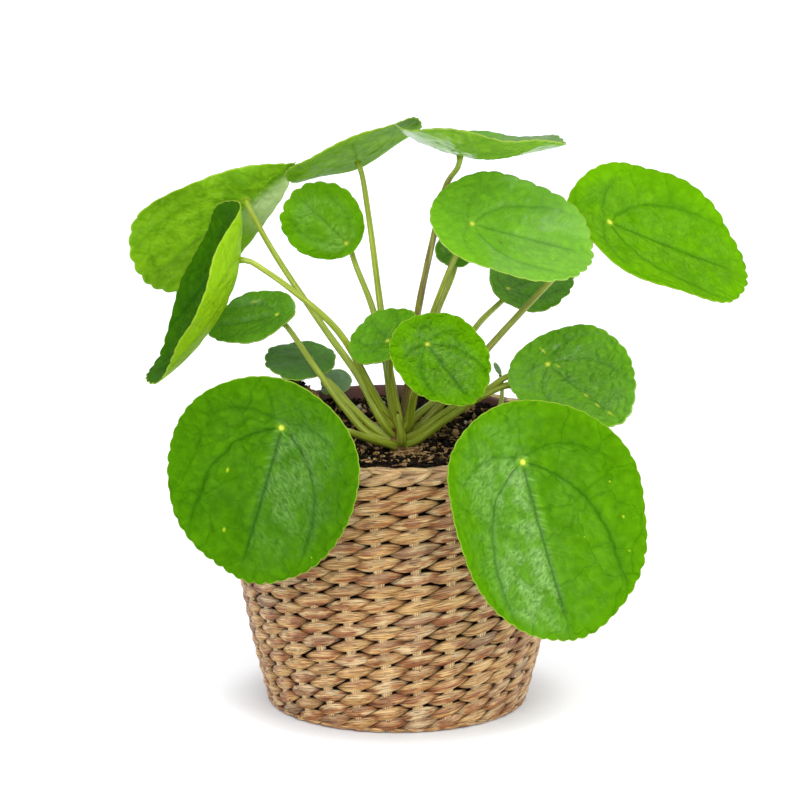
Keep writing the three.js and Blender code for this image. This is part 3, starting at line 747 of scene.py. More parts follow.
def add_stalk(shape, leaf, start, scale):
    """A leaf's stalk from its start to just under the navel."""
    up = leaf_frame(leaf)[2]
    navel = np.array(leaf.navel, dtype=float)
    ends = [navel - up * STALK_NECK * scale, navel - up * (BLADE_THICKNESS / 2 + GAP)]
    steps = 44 if scale == 1 else 14
    path, length = smooth_path([start, *leaf.via, *ends], steps)
    rings = []
    streaks = []
    for i, ((first, second), centre) in enumerate(zip(path_frames(path), path)):
        share = i / steps
        radius = STALK_BASE_RADIUS + (STALK_TIP_RADIUS - STALK_BASE_RADIUS) * sqrt(share)
        radius *= 1 + 0.25 * exp(-(share * length / 6) ** 2)
        radius *= 1 + 0.35 * exp(-((1 - share) * length / 2.2) ** 2)
        if i == 0:
            radius *= 0.55
        radius *= scale * (1 + 0.04 * jitter(share * length / 9, leaf.length))
        ring = []
        for angle in circle(STALK_SIDES):
            ridge = radius * (1 + 0.035 * cos(3 * angle + leaf.length))
            ring.append(centre + first * ridge * cos(angle) + second * ridge * sin(angle))
            streaks.append((share * length, angle, share))
        rings.append(ring)
    shape.tube(rings, streak=streaks, tone=[leaf.stalk] * len(streaks))


def stalk_finish(settings):
    """Juicy stalk with pale lengthwise streaks, browner towards its foot."""
    finish = Finish("stalk_skin", rgb(140, 160, 22))
    length, angle, share = finish.split(finish.attribute("streak"))
    round_x = finish.maths("COSINE", angle)
    round_y = finish.maths("SINE", angle)
    streak = finish.noise(finish.join(length * 0.05, round_x * 2, round_y * 2), 1.4, 3)
    blotch = finish.noise(finish.join(length * 0.12, angle, 3), 1.0, 2)
    fibres = finish.noise(finish.join(length * 0.08, round_x * 9, round_y * 9), 1.0, 2)
    finish.lay(settings.stalk_colour, streak, 0.35, 0.68, 0, 1)
    finish.lay(rgb(206, 214, 130), fibres, 0.52, 0.8, 0, 0.35)
    finish.lay(rgb(92, 112, 24), share, 0, 0.16, 0.35, 0)
    brown = finish.mix(finish.fade(streak, 0.4, 0.7, 0, 1), rgb(112, 82, 50), rgb(142, 118, 66))
    brownness = finish.fade(blotch + share * -0.35, 0.0, 0.5, 0.1, 1) * finish.attribute("tone", "Fac")
    finish.lay(brown, brownness * 0.9)
    finish.lay(rgb(150, 190, 60), share, 0.93, 1.0, 0, 0.5)
    finish.bump(fibres * 0.2 + streak * 0.15, 0.7)
    finish.set(Base_Color=finish.colour, Roughness=0.36, Subsurface_Weight=0.15,
               Subsurface_Radius=(0.8, 1.0, 0.2), Subsurface_Scale=0.0015)
    return finish


def add_trunk(shape):
    """The ringed trunk, which narrows upwards."""
    rings = []
    bark = []
    steps = 60
    for i in range(steps + 1):
        share = i / steps
        z = TRUNK_FOOT_Z + (TRUNK_TOP_Z - TRUNK_FOOT_Z) * share
        radius = TRUNK_FOOT_RADIUS + (TRUNK_TOP_RADIUS - TRUNK_FOOT_RADIUS) * share ** 2
        ringed = 0.28 * cos(2 * pi * z / 3.1) + 0.12 * cos(2 * pi * z / 1.3)
        ring = []
        for angle in circle(28):
            rough = 0.35 * jitter(3 * cos(angle), 3 * sin(angle), z / 2.5)
            r = max(0.5, radius - 0.4 + ringed * (1 + rough) + rough)
            x, y, _ = turned(r * (0.4 if i == steps else 1), angle, 0)
            ring.append((TRUNK_PLACE[0] + x, TRUNK_PLACE[1] + y, z))
            bark.append((x, y, z))
        rings.append(ring)
    shape.tube(rings, bark=bark)


def add_scale(shape, foot, outward, length, width, lean):
    """A dry pointed scale that stands on the trunk between the stalks."""
    out = unit(np.array([*outward, 0.0]))
    across = np.cross(out, [0, 0, 1.0])
    rise = unit(np.array([0, 0, 1.0]) + out * lean)
    thick = unit(np.cross(rise, across))
    rings = []
    bark = []
    for i in range(7):
        share = i / 6
        half = width / 2 * (1 - share ** 1.6) ** 0.8 + 0.08
        centre = np.array(foot) + rise * length * share + out * 1.4 * share ** 2
        ring = []
        for angle in circle(8):
            curl = 0.5 * (cos(angle) * half) ** 2 / width
            ring.append(centre + across * cos(angle) * half
                        + thick * (sin(angle) * 0.28 * (1 - 0.6 * share)) - out * curl)
            bark.append((*ring[-1][:2], ring[-1][2] + 40))
        rings.append(ring)
    shape.tube(rings, bark=bark)


def trunk_finish(settings):
    """Brown corky bark with rings and pale scars."""
    finish = Finish("trunk_bark", settings.bark_colour)
    place = finish.attribute("bark")
    x, y, z = finish.split(place)
    bands = finish.noise(finish.join(x * 0.1, y * 0.1, z * 0.9), 1.0, 2)
    flecks = finish.noise(place, 0.9, 3)
    finish.lay(rgb(150, 108, 64), bands, 0.35, 0.65, 0, 1)
    finish.lay(rgb(70, 38, 22), flecks, 0.5, 0.75, 0, 0.7)
    finish.lay(rgb(150, 150, 60), flecks, 0.28, 0.4, 0.5, 0)
    finish.bump(flecks * 0.5 + bands * 0.4, 0.8)
    finish.set(Base_Color=finish.colour, Roughness=0.75)
    return finish


class StemSettings(bpy.types.PropertyGroup):
    stalk_colour: bpy.props.FloatVectorProperty(
        name="Stalk colour", description="Colour of the stalks where they are lightest", subtype="COLOR",
        size=3, min=0, max=1, default=rgb(184, 198, 66))
    bark_colour: bpy.props.FloatVectorProperty(
        name="Bark colour", description="Colour of the trunk", subtype="COLOR", size=3, min=0, max=1,
        default=rgb(112, 72, 42))


class PILEA_OT_stems(bpy.types.Operator):
    """Builds the trunk with its dry scales, the sixteen stalks and the stems of the side shoots"""
    bl_idname = "pilea.stems"
    bl_label = "Build Stems"

    def execute(self, context):
        settings = context.scene.pilea_stems
        stalks = Shape()
        for leaf in LEAVES:
            add_stalk(stalks, leaf, (*TRUNK_PLACE, leaf.start), 1)
        skin = stalk_finish(settings)
        stalks.piece("stalks", skin, "stem_green", "stems")

        trunk = Shape()
        add_trunk(trunk)
        rng = random.Random(SEED + 1)
        for k in range(TRUNK_SCALES):
            out_x, out_y, _ = turned(1, 2 * pi * k * 0.382, 0)
            foot = (TRUNK_PLACE[0] + TRUNK_TOP_RADIUS * out_x, TRUNK_PLACE[1] + TRUNK_TOP_RADIUS * out_y,
                    SOIL_LEVEL + 15 * k / TRUNK_SCALES)
            add_scale(trunk, foot, (out_x, out_y), length=rng.uniform(4, 7.5), width=rng.uniform(2.6, 3.6),
                      lean=rng.uniform(0.25, 0.6))
        trunk.piece("trunk", trunk_finish(settings), "stem_green", "stems")

        for shoot in SHOOTS:
            stem = Shape()
            z = soil_height(*shoot.foot)
            start = (*shoot.foot, z + SHOOT_FOOT_RISE)
            for sprig in shoot.sprigs:
                add_stalk(stem, sprig, start, SHOOT_SCALE)
            base, _ = smooth_path([(*shoot.foot, z - 8), (*shoot.foot, z - 3), start], 8)
            rings = [[p + turned(1.5, angle, 0) for angle in circle(STALK_SIDES)] for p in base]
            count = len(rings) * STALK_SIDES
            stem.tube(rings, streak=[(0, 0, 0)] * count, tone=[0.3] * count)
            stem.piece(shoot.name, skin, "stem_green", shoot.name + "_stem")
        return {"FINISHED"}


# Basket

def basket_radius(z):
    """The radius of the flared wall's outer face."""
    share = max(0.0, 1 - z / BASKET_HEIGHT)
    return BASKET_TOP_RADIUS - (BASKET_TOP_RADIUS - BASKET_FOOT_RADIUS) * share ** BASKET_FLARE_POWER


def round_basket(warps):
    """The angle of a place this many warps on from the front."""
    return -pi / 2 + warps * PITCH


def upright(inset):
    """The radius at each height of a wall that stands upright, this far inside the basket's top edge."""
    return lambda z: BASKET_TOP_RADIUS - inset


def warp_drift(course):
    """How far the leaning warps have moved on at a course, in warps."""
    return (COURSES - course) * 0.02 - 0.62


def add_stitch(shape, rng, angle, z, radius_at, length, height, thickness, rise, tuck, inward=False,
               spacing=1):
    """A strand's run over one warp: a lens whose ends dip in beside its neighbours.

    The length and the spacing of the row's strands are in warp spacings, and the rest in millimetres.
    """
    steps = 13
    angles = [pi * (k / 8 - 0.5) for k in range(9)] + [pi * 0.75, pi, pi * 1.25]
    number = rng.random()
    shift = rng.uniform(0, 50)
    facing = -1 if inward else 1

    def section(t):
        """The half height and the depth of the strand's section, and how far it has risen."""
        half = height / 2 * (1 - abs(t) ** 2.4) + 0.08
        deep = thickness * (0.45 + 0.55 * max(0.0, 1 - t * t) ** 0.7)
        return half, deep, rise / 2 * t * (1.25 - 0.25 * t * t)

    def crown(t, level):
        """How far the strand's face stands out at a level."""
        half, deep, risen = section(t)
        off = min(1.0, abs(level - risen) / half)
        return deep * (0.3 + 0.7 * sqrt(1 - off * off)) - tuck * abs(t) ** 2.2 - (1.5 if off == 1 else 0)

    def backwards(values):
        """The values of rings of points in the order of the rings run backwards."""
        size = len(angles)
        return [value for i in range(0, len(values), size) for value in reversed(values[i:i + size])]

    rings = []
    strand = []
    tip_shade = []
    apart = []
    for i in range(steps):
        t = 2 * i / (steps - 1) - 1
        half, deep, risen = section(t)
        bow = 0.25 * jitter(shift, t * 1.5)
        beyond = t - 2 * spacing / length * (1 if t > 0 else -1)
        reach = facing * (tuck * abs(t) ** 2.2 + thickness)
        ring = []
        for around in angles:
            ridge = 1 + 0.14 * jitter(around * 1.9 + shift, t * 0.8, 5)
            ridge += 0.07 * jitter(around * 5, t, shift)
            up = sin(around)
            lift = facing * deep * (0.3 + 0.7 * cos(around)) * ridge
            level = z + risen + bow + up * half * (1 + 0.06 * jitter(shift, t * 2, around))
            ring.append(turned(radius_at(level) - reach + lift, angle + t * length * PITCH / 2, level))
            across = up * height * (0.35 + 0.15 * max(0, 1 - t * t))
            strand.append((t * length * PITCH * 35, across, number))
            # How dark the painted shade is here: towards the stitch's tucked ends and along its edges.
            tip_shade.append(max(abs(t) ** 4, abs(up) ** 8 * 0.9))
            # How far this stitch stands above the next one here; the seams where they meet get painted shade.
            over = risen + up * half
            step = crown(t, over) - crown(beyond, over) if abs(beyond) < 1 else 1.5
            apart.append(max(-1.5, min(1.5, step)))
        rings.append(ring)
    if not inward:
        rings = [ring[::-1] for ring in rings]
        strand = backwards(strand)
    shape.tube(rings, strand=strand, tip=backwards(tip_shade), apart=backwards(apart))


def fibre_finish(name, settings, shade=1.0, shade_seams=False):
    """Dry twisted plant fibre: straw to rust, with fine lengthwise fibres and creases, a painted highlight on
    each crown and painted shade at tips, edges, grooves and seams.
    """
    finish = Finish(name, rgb(188, 128, 58))
    fade, join = finish.fade, finish.join
    along, across, number = finish.split(finish.attribute("strand"))
    seed = number * 83
    twist = across + along * 0.06
    fibres = finish.noise(join(along * 0.055, twist * 1.3, seed), 1.6, 3, 0.6)
    fine = finish.noise(join(along * 0.07, twist * 5.0, seed), 1.5, 2, 0.6)
    patch = finish.noise(join(along * 0.12, twist * 0.35, seed), 0.9, 2)
    crease = finish.noise(join(along * 0.05, twist * 1.1, seed + 9), 1.3, 1)
    dark_crease = fade(abs(crease - 0.5), 0.0, 0.03)
    own = finish.node("ShaderNodeTexWhiteNoise", {"noise_dimensions": "1D"}, {"W": number * 917})

    finish.lay(settings.straw_colour, fibres, 0.42, 0.58, 0, 1)
    finish.lay(settings.rust_colour, patch + own * 0.25, 0.54, 0.74, 0, 0.9)
    finish.lay(rgb(112, 58, 26), patch + own * 0.25, 0.68, 0.86, 0, 0.6)
    finish.lay(rgb(244, 218, 172), patch - own * 0.25, 0.14, 0.32, 0.7, 0)
    finish.lay(rgb(158, 130, 100), own, 0.86, 1.0, 0, 0.5)
    finish.lay(rgb(120, 66, 34), own, 0.0, 0.1, 0.5, 0)
    finish.lay(rgb(92, 52, 26), fine, 0.52, 0.7, 0, 0.62)
    finish.lay(rgb(252, 224, 168), fine, 0.33, 0.46, 0.6, 0)
    # A painted highlight on the upper middle of each stitch's crown.
    crown = fade(abs(along), 1, 9) * fade(across, -1.2, 1.4, 0, 1) * fade(fibres, 0.35, 0.6, 0.3, 1)
    finish.lay(rgb(255, 232, 190), crown * 0.28)
    finish.lay(rgb(58, 30, 14), dark_crease * 0.75)
    # Painted shade at the stitches' tucked ends and edges, and in the grooves of the warps.
    finish.lay(rgb(50, 26, 12), finish.attribute("tip", "Fac") * 0.85)
    # Painted shade along the seams where stitches meet.
    seam_shade = 0
    if shade_seams:
        seam_shade = fade(abs(finish.attribute("apart", "Fac")), 0.05, 0.26)
        finish.lay(rgb(40, 20, 10), seam_shade * 0.88)
    # A shade below 1 darkens the fibre, as painted shade for the border's core; one above 1 lightens it.
    if shade < 1:
        finish.lay(rgb(40, 24, 14), 1 - shade)
    if shade > 1:
        finish.lay(rgb(255, 226, 170), shade - 1)
    finish.bump(fibres * 0.5 + fine * 0.35 - dark_crease * 0.5 - seam_shade * 0.4, 0.9)
    finish.set(Base_Color=finish.colour, Roughness=fade(fibres, 0.3, 0.7, 0.5, 0.36),
               Specular_IOR_Level=0.36)
    return finish


class BasketSettings(bpy.types.PropertyGroup):
    straw_colour: bpy.props.FloatVectorProperty(
        name="Straw colour", description="Colour of the lighter fibre", subtype="COLOR", size=3, min=0,
        max=1, default=rgb(246, 199, 126))
    rust_colour: bpy.props.FloatVectorProperty(
        name="Rust colour", description="Colour of the darker patches", subtype="COLOR", size=3, min=0,
        max=1, default=rgb(166, 82, 24))
    unevenness: bpy.props.FloatProperty(
        name="Unevenness", description="How far the stitches stray from an even weave", default=1.0,
        min=0, max=3)


class PILEA_OT_weave(bpy.types.Operator):
    """Builds the twined stitches of the basket's wall and the warps they run round"""
    bl_idname = "pilea.weave"
    bl_label = "Build Weave"

    def execute(self, context):
        settings = context.scene.pilea_basket
        rng = random.Random(SEED)
        weave = Shape()
        stray = settings.unevenness
        for course in range(COURSES):
            for warp in range(WARPS):
                angle = round_basket(warp + warp_drift(course) + stray * rng.gauss(0, 0.03))
                wave = 0.35 * jitter(2 * cos(angle), 2 * sin(angle), course * 0.35)
                z = (course + 0.5) * COURSE + stray * (rng.gauss(0, 0.15) + wave)
                add_stitch(weave, rng, angle, max(z, 4.0), basket_radius,
                           length=1.44 * (1 + stray * rng.gauss(0, 0.03)),
                           height=5.85 * (1 + stray * rng.gauss(0, 0.04)),
                           rise=3.8 + stray * rng.gauss(0, 0.35), thickness=1.8, tuck=1.0)
        spacing = WARPS / FOOT_PIECES
        for piece in range(FOOT_PIECES):
            angle = round_basket(piece * spacing + rng.gauss(0, 0.04))
            add_stitch(weave, rng, angle, 1.3, basket_radius, length=1.0, height=1.9, thickness=1.9,
                       rise=0.5, tuck=0.6, spacing=spacing)
        fibre = fibre_finish("twined_fibre", settings, shade_seams=True)
        weave.piece("weave", fibre, "basket_fibre", "basket")

        section = []
        for k in range(18):
            side = WARP_HALF_WIDTH * (2 * k / 17 - 1)
            groove = max(0.0, -cos(2 * pi * side / WARP_GROOVES))
            section.append((side, 1.1 - (side / WARP_HALF_WIDTH) ** 4 - 0.4 * groove, groove))
        section += [(WARP_HALF_WIDTH * (1 - 2 * k / 5), -1, 0) for k in range(6)]
        levels = np.linspace(1, WALL_TOP, 40)
        warps = Shape()
        for warp in range(WARPS):
            number = rng.random()
            rings = []
            for z in levels:
                angle = round_basket(warp + warp_drift(z / COURSE) + 0.04 * jitter(warp, z / 20))
                radius = basket_radius(z) - WARP_INSET
                rings.append([turned(radius + deep, angle + side / radius, z) for side, deep, _ in section])
            # Each rib groove's depth also darkens it through `tip`, as painted shade.
            warps.tube(rings, strand=[(z, side, number) for z in levels for side, _, _ in section],
                       tip=[groove for _, _, groove in section] * len(levels))
        warps.piece("warps", fibre_finish("warp_fibre", settings, 1.4), "basket_fibre", "basket")
        return {"FINISHED"}


class PILEA_OT_lining(bpy.types.Operator):
    """Builds the inner side of the wall and the woven bottom"""
    bl_idname = "pilea.lining"
    bl_label = "Build Lining"

    def execute(self, context):
        settings = context.scene.pilea_basket
        profile = [(3 + (BASKET_FOOT_RADIUS - 7) * i / 14, 0.6 + 0.4 * (i % 2), 1) for i in range(15)]
        profile.append((basket_radius(0) - 3.6, 0.9, 1))
        outer_levels = [WALL_TOP * i / 24 for i in range(1, 25)]
        inner_levels = [WALL_TOP * i / 54 for i in range(54, 3, -1)]
        profile += [(basket_radius(z) - 3.7, z, 0) for z in outer_levels]
        profile.append((basket_radius(WALL_TOP) - 5.4, WALL_TOP, 0))
        profile += [(basket_radius(z) - WALL + 0.45 + 0.45 * cos(2 * pi * z / COURSE), z, 1)
                    for z in inner_levels]
        profile += [(BASKET_FOOT_RADIUS - 9, FLOOR, 1), (3, FLOOR, 1)]
        rings = []
        strand = []
        for radius, z, open_side in profile:
            ring = []
            course = int(z / COURSE)
            for angle in circle(LINING_SIDES):
                bulge = 0.35 * open_side * cos(WARPS * angle / 2 + (pi if course % 2 else 0))
                if z < 1.2:
                    ring.append(turned(radius, angle, max(0.1, z + bulge * 0.6)))
                else:
                    ring.append(turned(radius + bulge, angle, z))
                strand.append((angle * radius, z + radius if z < 1.2 else z, (course * 0.137) % 1))
            rings.append(ring)
        lining = Shape()
        lining.tube(rings, strand=strand,
                    open_side=[side for _, _, side in profile for _ in range(LINING_SIDES)])
        finish = fibre_finish("lining_fibre", settings)
        # The outer face of the lining, seen only through gaps in the weave, is painted near black as shade;
        # the open side keeps the fibre.
        open_side = finish.attribute("open_side", "Fac")
        finish.set(Base_Color=finish.mix(open_side, rgb(38, 20, 10), finish.colour))
        lining.piece("basket_lining", finish, "basket_fibre", "basket")
        return {"FINISHED"}


class PILEA_OT_border(bpy.types.Operator):
    """Builds the braided border with its slim lip"""
    bl_idname = "pilea.border"
    bl_label = "Build Border"

    def execute(self, context):
        settings = context.scene.pilea_basket
        rng = random.Random(SEED + 2)
        fibre = fibre_finish("border_fibre", settings, 1.2, True)
        middle = WALL_TOP + GAP + 3.1
        shift = -0.3
        braid = Shape()

        def outside(z):
            return BASKET_TOP_RADIUS - 0.02 * max(0, z - middle) ** 2

        spacing = WARPS / PLAITS
        for plait in range(PLAITS):
            place = shift + plait * spacing + rng.gauss(0, 0.03)
            add_stitch(braid, rng, round_basket(place), middle + 0.7, outside, length=1.05,
                       height=4.9 + rng.gauss(0, 0.2), thickness=3.0, rise=3.7 + rng.gauss(0, 0.25),
                       tuck=1.7, spacing=spacing)
            add_stitch(braid, rng, round_basket(place + 0.42), middle - 1.5, outside, length=0.95,
                       height=3.5 + rng.gauss(0, 0.2), thickness=2.5, rise=1.6 + rng.gauss(0, 0.2),
                       tuck=1.2, spacing=spacing)
        for warp in range(WARPS):
            angle = round_basket(shift + warp + rng.gauss(0, 0.04))
            add_stitch(braid, rng, angle, middle + 0.4, upright(7.2), length=1.3, height=6.0, thickness=2.6,
                       rise=2.6, tuck=1.2, inward=True)
        braid.piece("border_braid", fibre, "basket_fibre", "basket_border")

        core = Shape()
        rings = []
        strand = []
        for angle in circle(20):
            radius = BASKET_TOP_RADIUS - 3.7 + 1.6 * cos(angle)
            z = middle + 0.4 + 2.6 * sin(angle)
            rings.append([turned(radius, turn, z) for turn in circle(CORE_SIDES)])
            strand.extend((j * 3.2, angle, 0.4) for j in range(CORE_SIDES))
        core.tube(rings, closed=True, strand=strand)
        # The core is darkened as painted shade, since it shows only in the gaps of the braid.
        shaded_core_fibre = fibre_finish("core_fibre", settings, 0.45)
        core.piece("border_core", shaded_core_fibre, "basket_fibre", "basket_border")

        lip = Shape()
        top = BASKET_HEIGHT - 1.5
        spacing = WARPS / LIP_PIECES
        for piece in range(LIP_PIECES):
            angle = round_basket(shift + piece * spacing + rng.gauss(0, 0.05))
            add_stitch(lip, rng, angle, top, upright(0.7), length=1.35, height=2.6 + rng.gauss(0, 0.12),
                       thickness=2.8, rise=-0.9, tuck=0.9, spacing=spacing)
            add_stitch(lip, rng, angle, top, upright(5.6), length=1.35, height=2.6, thickness=2.8, rise=-0.9,
                       tuck=0.9, inward=True)
        lip.piece("border_lip", fibre, "basket_fibre", "basket_border")
        return {"FINISHED"}


# Pot and soil

def pot_inner_radius(z):
    """The radius of the pot's inner face."""
    top = POT_RIM_RADIUS - POT_RIM_STEP - POT_WALL
    foot = POT_FOOT_RADIUS - POT_WALL
    return foot + (top - foot) * z / POT_HEIGHT


def pot_matrix():
    """How the pot stands in the basket, a little askew."""
    tilt_x, tilt_y = [Matrix.Rotation(radians(tilt), 4, axis) for tilt, axis in zip(POT_TILT, "XY")]
    return Matrix.Translation(POT_PLACE) @ tilt_x @ tilt_y


def soil_height(x, y):
    """The height of the dished soil with its heap and lumps."""
    dish = SOIL_DISH * (x * x + y * y) / SOIL_DISH_RADIUS ** 2
    from_heap = ((x - HEAP_PLACE[0]) ** 2 + (y - HEAP_PLACE[1]) ** 2) / HEAP_SPREAD ** 2
    heap = HEAP_HEIGHT * exp(-from_heap)
    lumps = SOIL_LUMP * sin(0.31 * x + 1) * cos(0.27 * y - 0.05 * x)
    return SOIL_LEVEL + dish + SOIL_BACK_SLOPE * y + heap + lumps


class PotSettings(bpy.types.PropertyGroup):
    plastic_colour: bpy.props.FloatVectorProperty(
        name="Plastic colour", description="Colour of the nursery pot", subtype="COLOR", size=3, min=0,
        max=1, default=rgb(84, 38, 32))
    soil_colour: bpy.props.FloatVectorProperty(
        name="Soil colour", description="Colour of the damp soil", subtype="COLOR", size=3, min=0, max=1,
        default=rgb(33, 20, 13))
    crumbs: bpy.props.IntProperty(
        name="Crumbs", description="How many soil crumbs lie on top", default=2600, min=0, max=6000)


class PILEA_OT_pot(bpy.types.Operator):
    """Builds the plastic nursery pot with its rolled rim"""
    bl_idname = "pilea.pot"
    bl_label = "Build Nursery Pot"

    def execute(self, context):
        finish = Finish("pot_plastic", context.scene.pilea_pot.plastic_colour)
        place = finish.place()
        scuffs = finish.noise(place, 90, 4)
        finish.lay(rgb(128, 82, 70), finish.noise(place, 22, 3), 0.45, 0.75, 0, 0.35)
        finish.lay(rgb(50, 26, 22), scuffs, 0.6, 0.75, 0, 0.3)
        finish.bump(scuffs * 0.12, 0.6)
        finish.set(Base_Color=finish.colour, Roughness=finish.fade(scuffs, 0.35, 0.65, 0.38, 0.55))

        band = POT_HEIGHT - POT_RIM_BAND
        out = pot_inner_radius(band) + POT_WALL
        inner = pot_inner_radius(POT_HEIGHT)
        profile = [
            (0.5, 0.0), (POT_FOOT_RADIUS - 3, 0.0), (POT_FOOT_RADIUS - 0.8, 0.3), (POT_FOOT_RADIUS, 1.2),
            (out - 0.1, band - 0.6), (out + 0.3, band), (POT_RIM_RADIUS - 0.3, band),
            (POT_RIM_RADIUS, band + 0.4), (POT_RIM_RADIUS - 0.3, POT_HEIGHT - 1.4),
            (POT_RIM_RADIUS, POT_HEIGHT - 0.9), (POT_RIM_RADIUS - 0.3, POT_HEIGHT - 0.25),
            (POT_RIM_RADIUS - 0.9, POT_HEIGHT), (inner + 0.5, POT_HEIGHT - 0.1), (inner, POT_HEIGHT - 0.6),
            (pot_inner_radius(band), band), (pot_inner_radius(POT_WALL) + 0.2, POT_WALL + 1),
            (pot_inner_radius(POT_WALL) - 1, POT_WALL), (0.5, POT_WALL),
        ]
        matrix = pot_matrix()
        pot = Shape()
        pot.tube([[matrix @ Vector(turned(radius, angle, z)) for angle in circle(POT_SIDES)]
                  for radius, z in profile])
        pot.piece("nursery_pot_shell", finish, "pot_plastic", "nursery_pot")
        return {"FINISHED"}


def soil_finish(settings):
    """Dark damp soil, which turns to pale bark where the kind is near 1."""
    finish = Finish("potting_soil", rgb(9, 6, 4))
    place = finish.place()
    crumb = finish.noise(place, 700, 4, 0.65)
    finish.lay(settings.soil_colour, crumb, 0.35, 0.7, 0, 1)
    finish.lay(rgb(84, 54, 32), finish.noise(place, 130, 3), 0.55, 0.75, 0, 0.5)
    chip = finish.mix(finish.fade(crumb, 0.35, 0.65, 0, 1), rgb(92, 58, 32), rgb(216, 176, 124))
    finish.lay(chip, finish.attribute("kind", "Fac"), 0.1, 0.9, 0, 1)
    finish.bump(crumb * 0.9, 0.9)
    finish.set(Base_Color=finish.colour, Roughness=finish.fade(crumb, 0.3, 0.7, 0.95, 0.6),
               Specular_IOR_Level=0.12)
    return finish


# The corners and the faces of the rough ball that a lump is made from
ICO_POINTS = [
    (0, 0.53, 0.85), (0, -0.53, 0.85), (0, 0.53, -0.85), (0, -0.53, -0.85),
    (0.85, 0, 0.53), (-0.85, 0, 0.53), (0.85, 0, -0.53), (-0.85, 0, -0.53),
    (0.53, 0.85, 0), (-0.53, 0.85, 0), (0.53, -0.85, 0), (-0.53, -0.85, 0),
]
ICO_FACES = [
    (0, 1, 4), (0, 4, 8), (0, 8, 9), (0, 9, 5), (0, 5, 1), (1, 5, 11), (1, 11, 10), (1, 10, 4),
    (4, 10, 6), (4, 6, 8), (8, 6, 2), (8, 2, 9), (9, 2, 7), (9, 7, 5), (5, 7, 11), (3, 2, 6),
    (3, 7, 2), (3, 11, 7), (3, 10, 11), (3, 6, 10),
]


def add_lump(shape, rng, place, sizes, kind):
    """An uneven lump, turned at random, with its three half sizes."""
    angle = rng.uniform(0, 6.28)
    axis = Vector((rng.uniform(-1, 1), rng.uniform(-1, 1), rng.uniform(0.1, 1)))
    turn = np.array(Matrix.Rotation(angle, 3, axis))
    points = [turn @ (np.array(p) * sizes * rng.uniform(0.72, 1.2)) + place for p in ICO_POINTS]
    shape.add(points, ICO_FACES, kind=[kind] * len(points))


def add_thread(shape, rng, place, length, radius, kind, rise=0.25):
    """A thin crooked fibre that lies near the soil."""
    heading = rng.uniform(0, 2 * pi)
    curl = rng.uniform(-1.6, 1.6)
    lift = rng.uniform(0, rise)
    path = []
    spot = np.array(place, dtype=float)
    for i in range(8):
        path.append(spot.copy())
        heading += curl / 7 + rng.uniform(-0.3, 0.3)
        step = length / 7
        spot += [step * cos(heading), step * sin(heading), step * lift * cos(i * 0.6)]
    path = np.array(path)
    rings = []
    for i, (first, second) in enumerate(path_frames(path)):
        r = radius * (1 - 0.6 * abs(i / 3.5 - 1))
        rings.append([path[i] + r * (first * cos(angle) + second * sin(angle)) for angle in circle(4)])
    shape.tube(rings, kind=[kind] * 32)


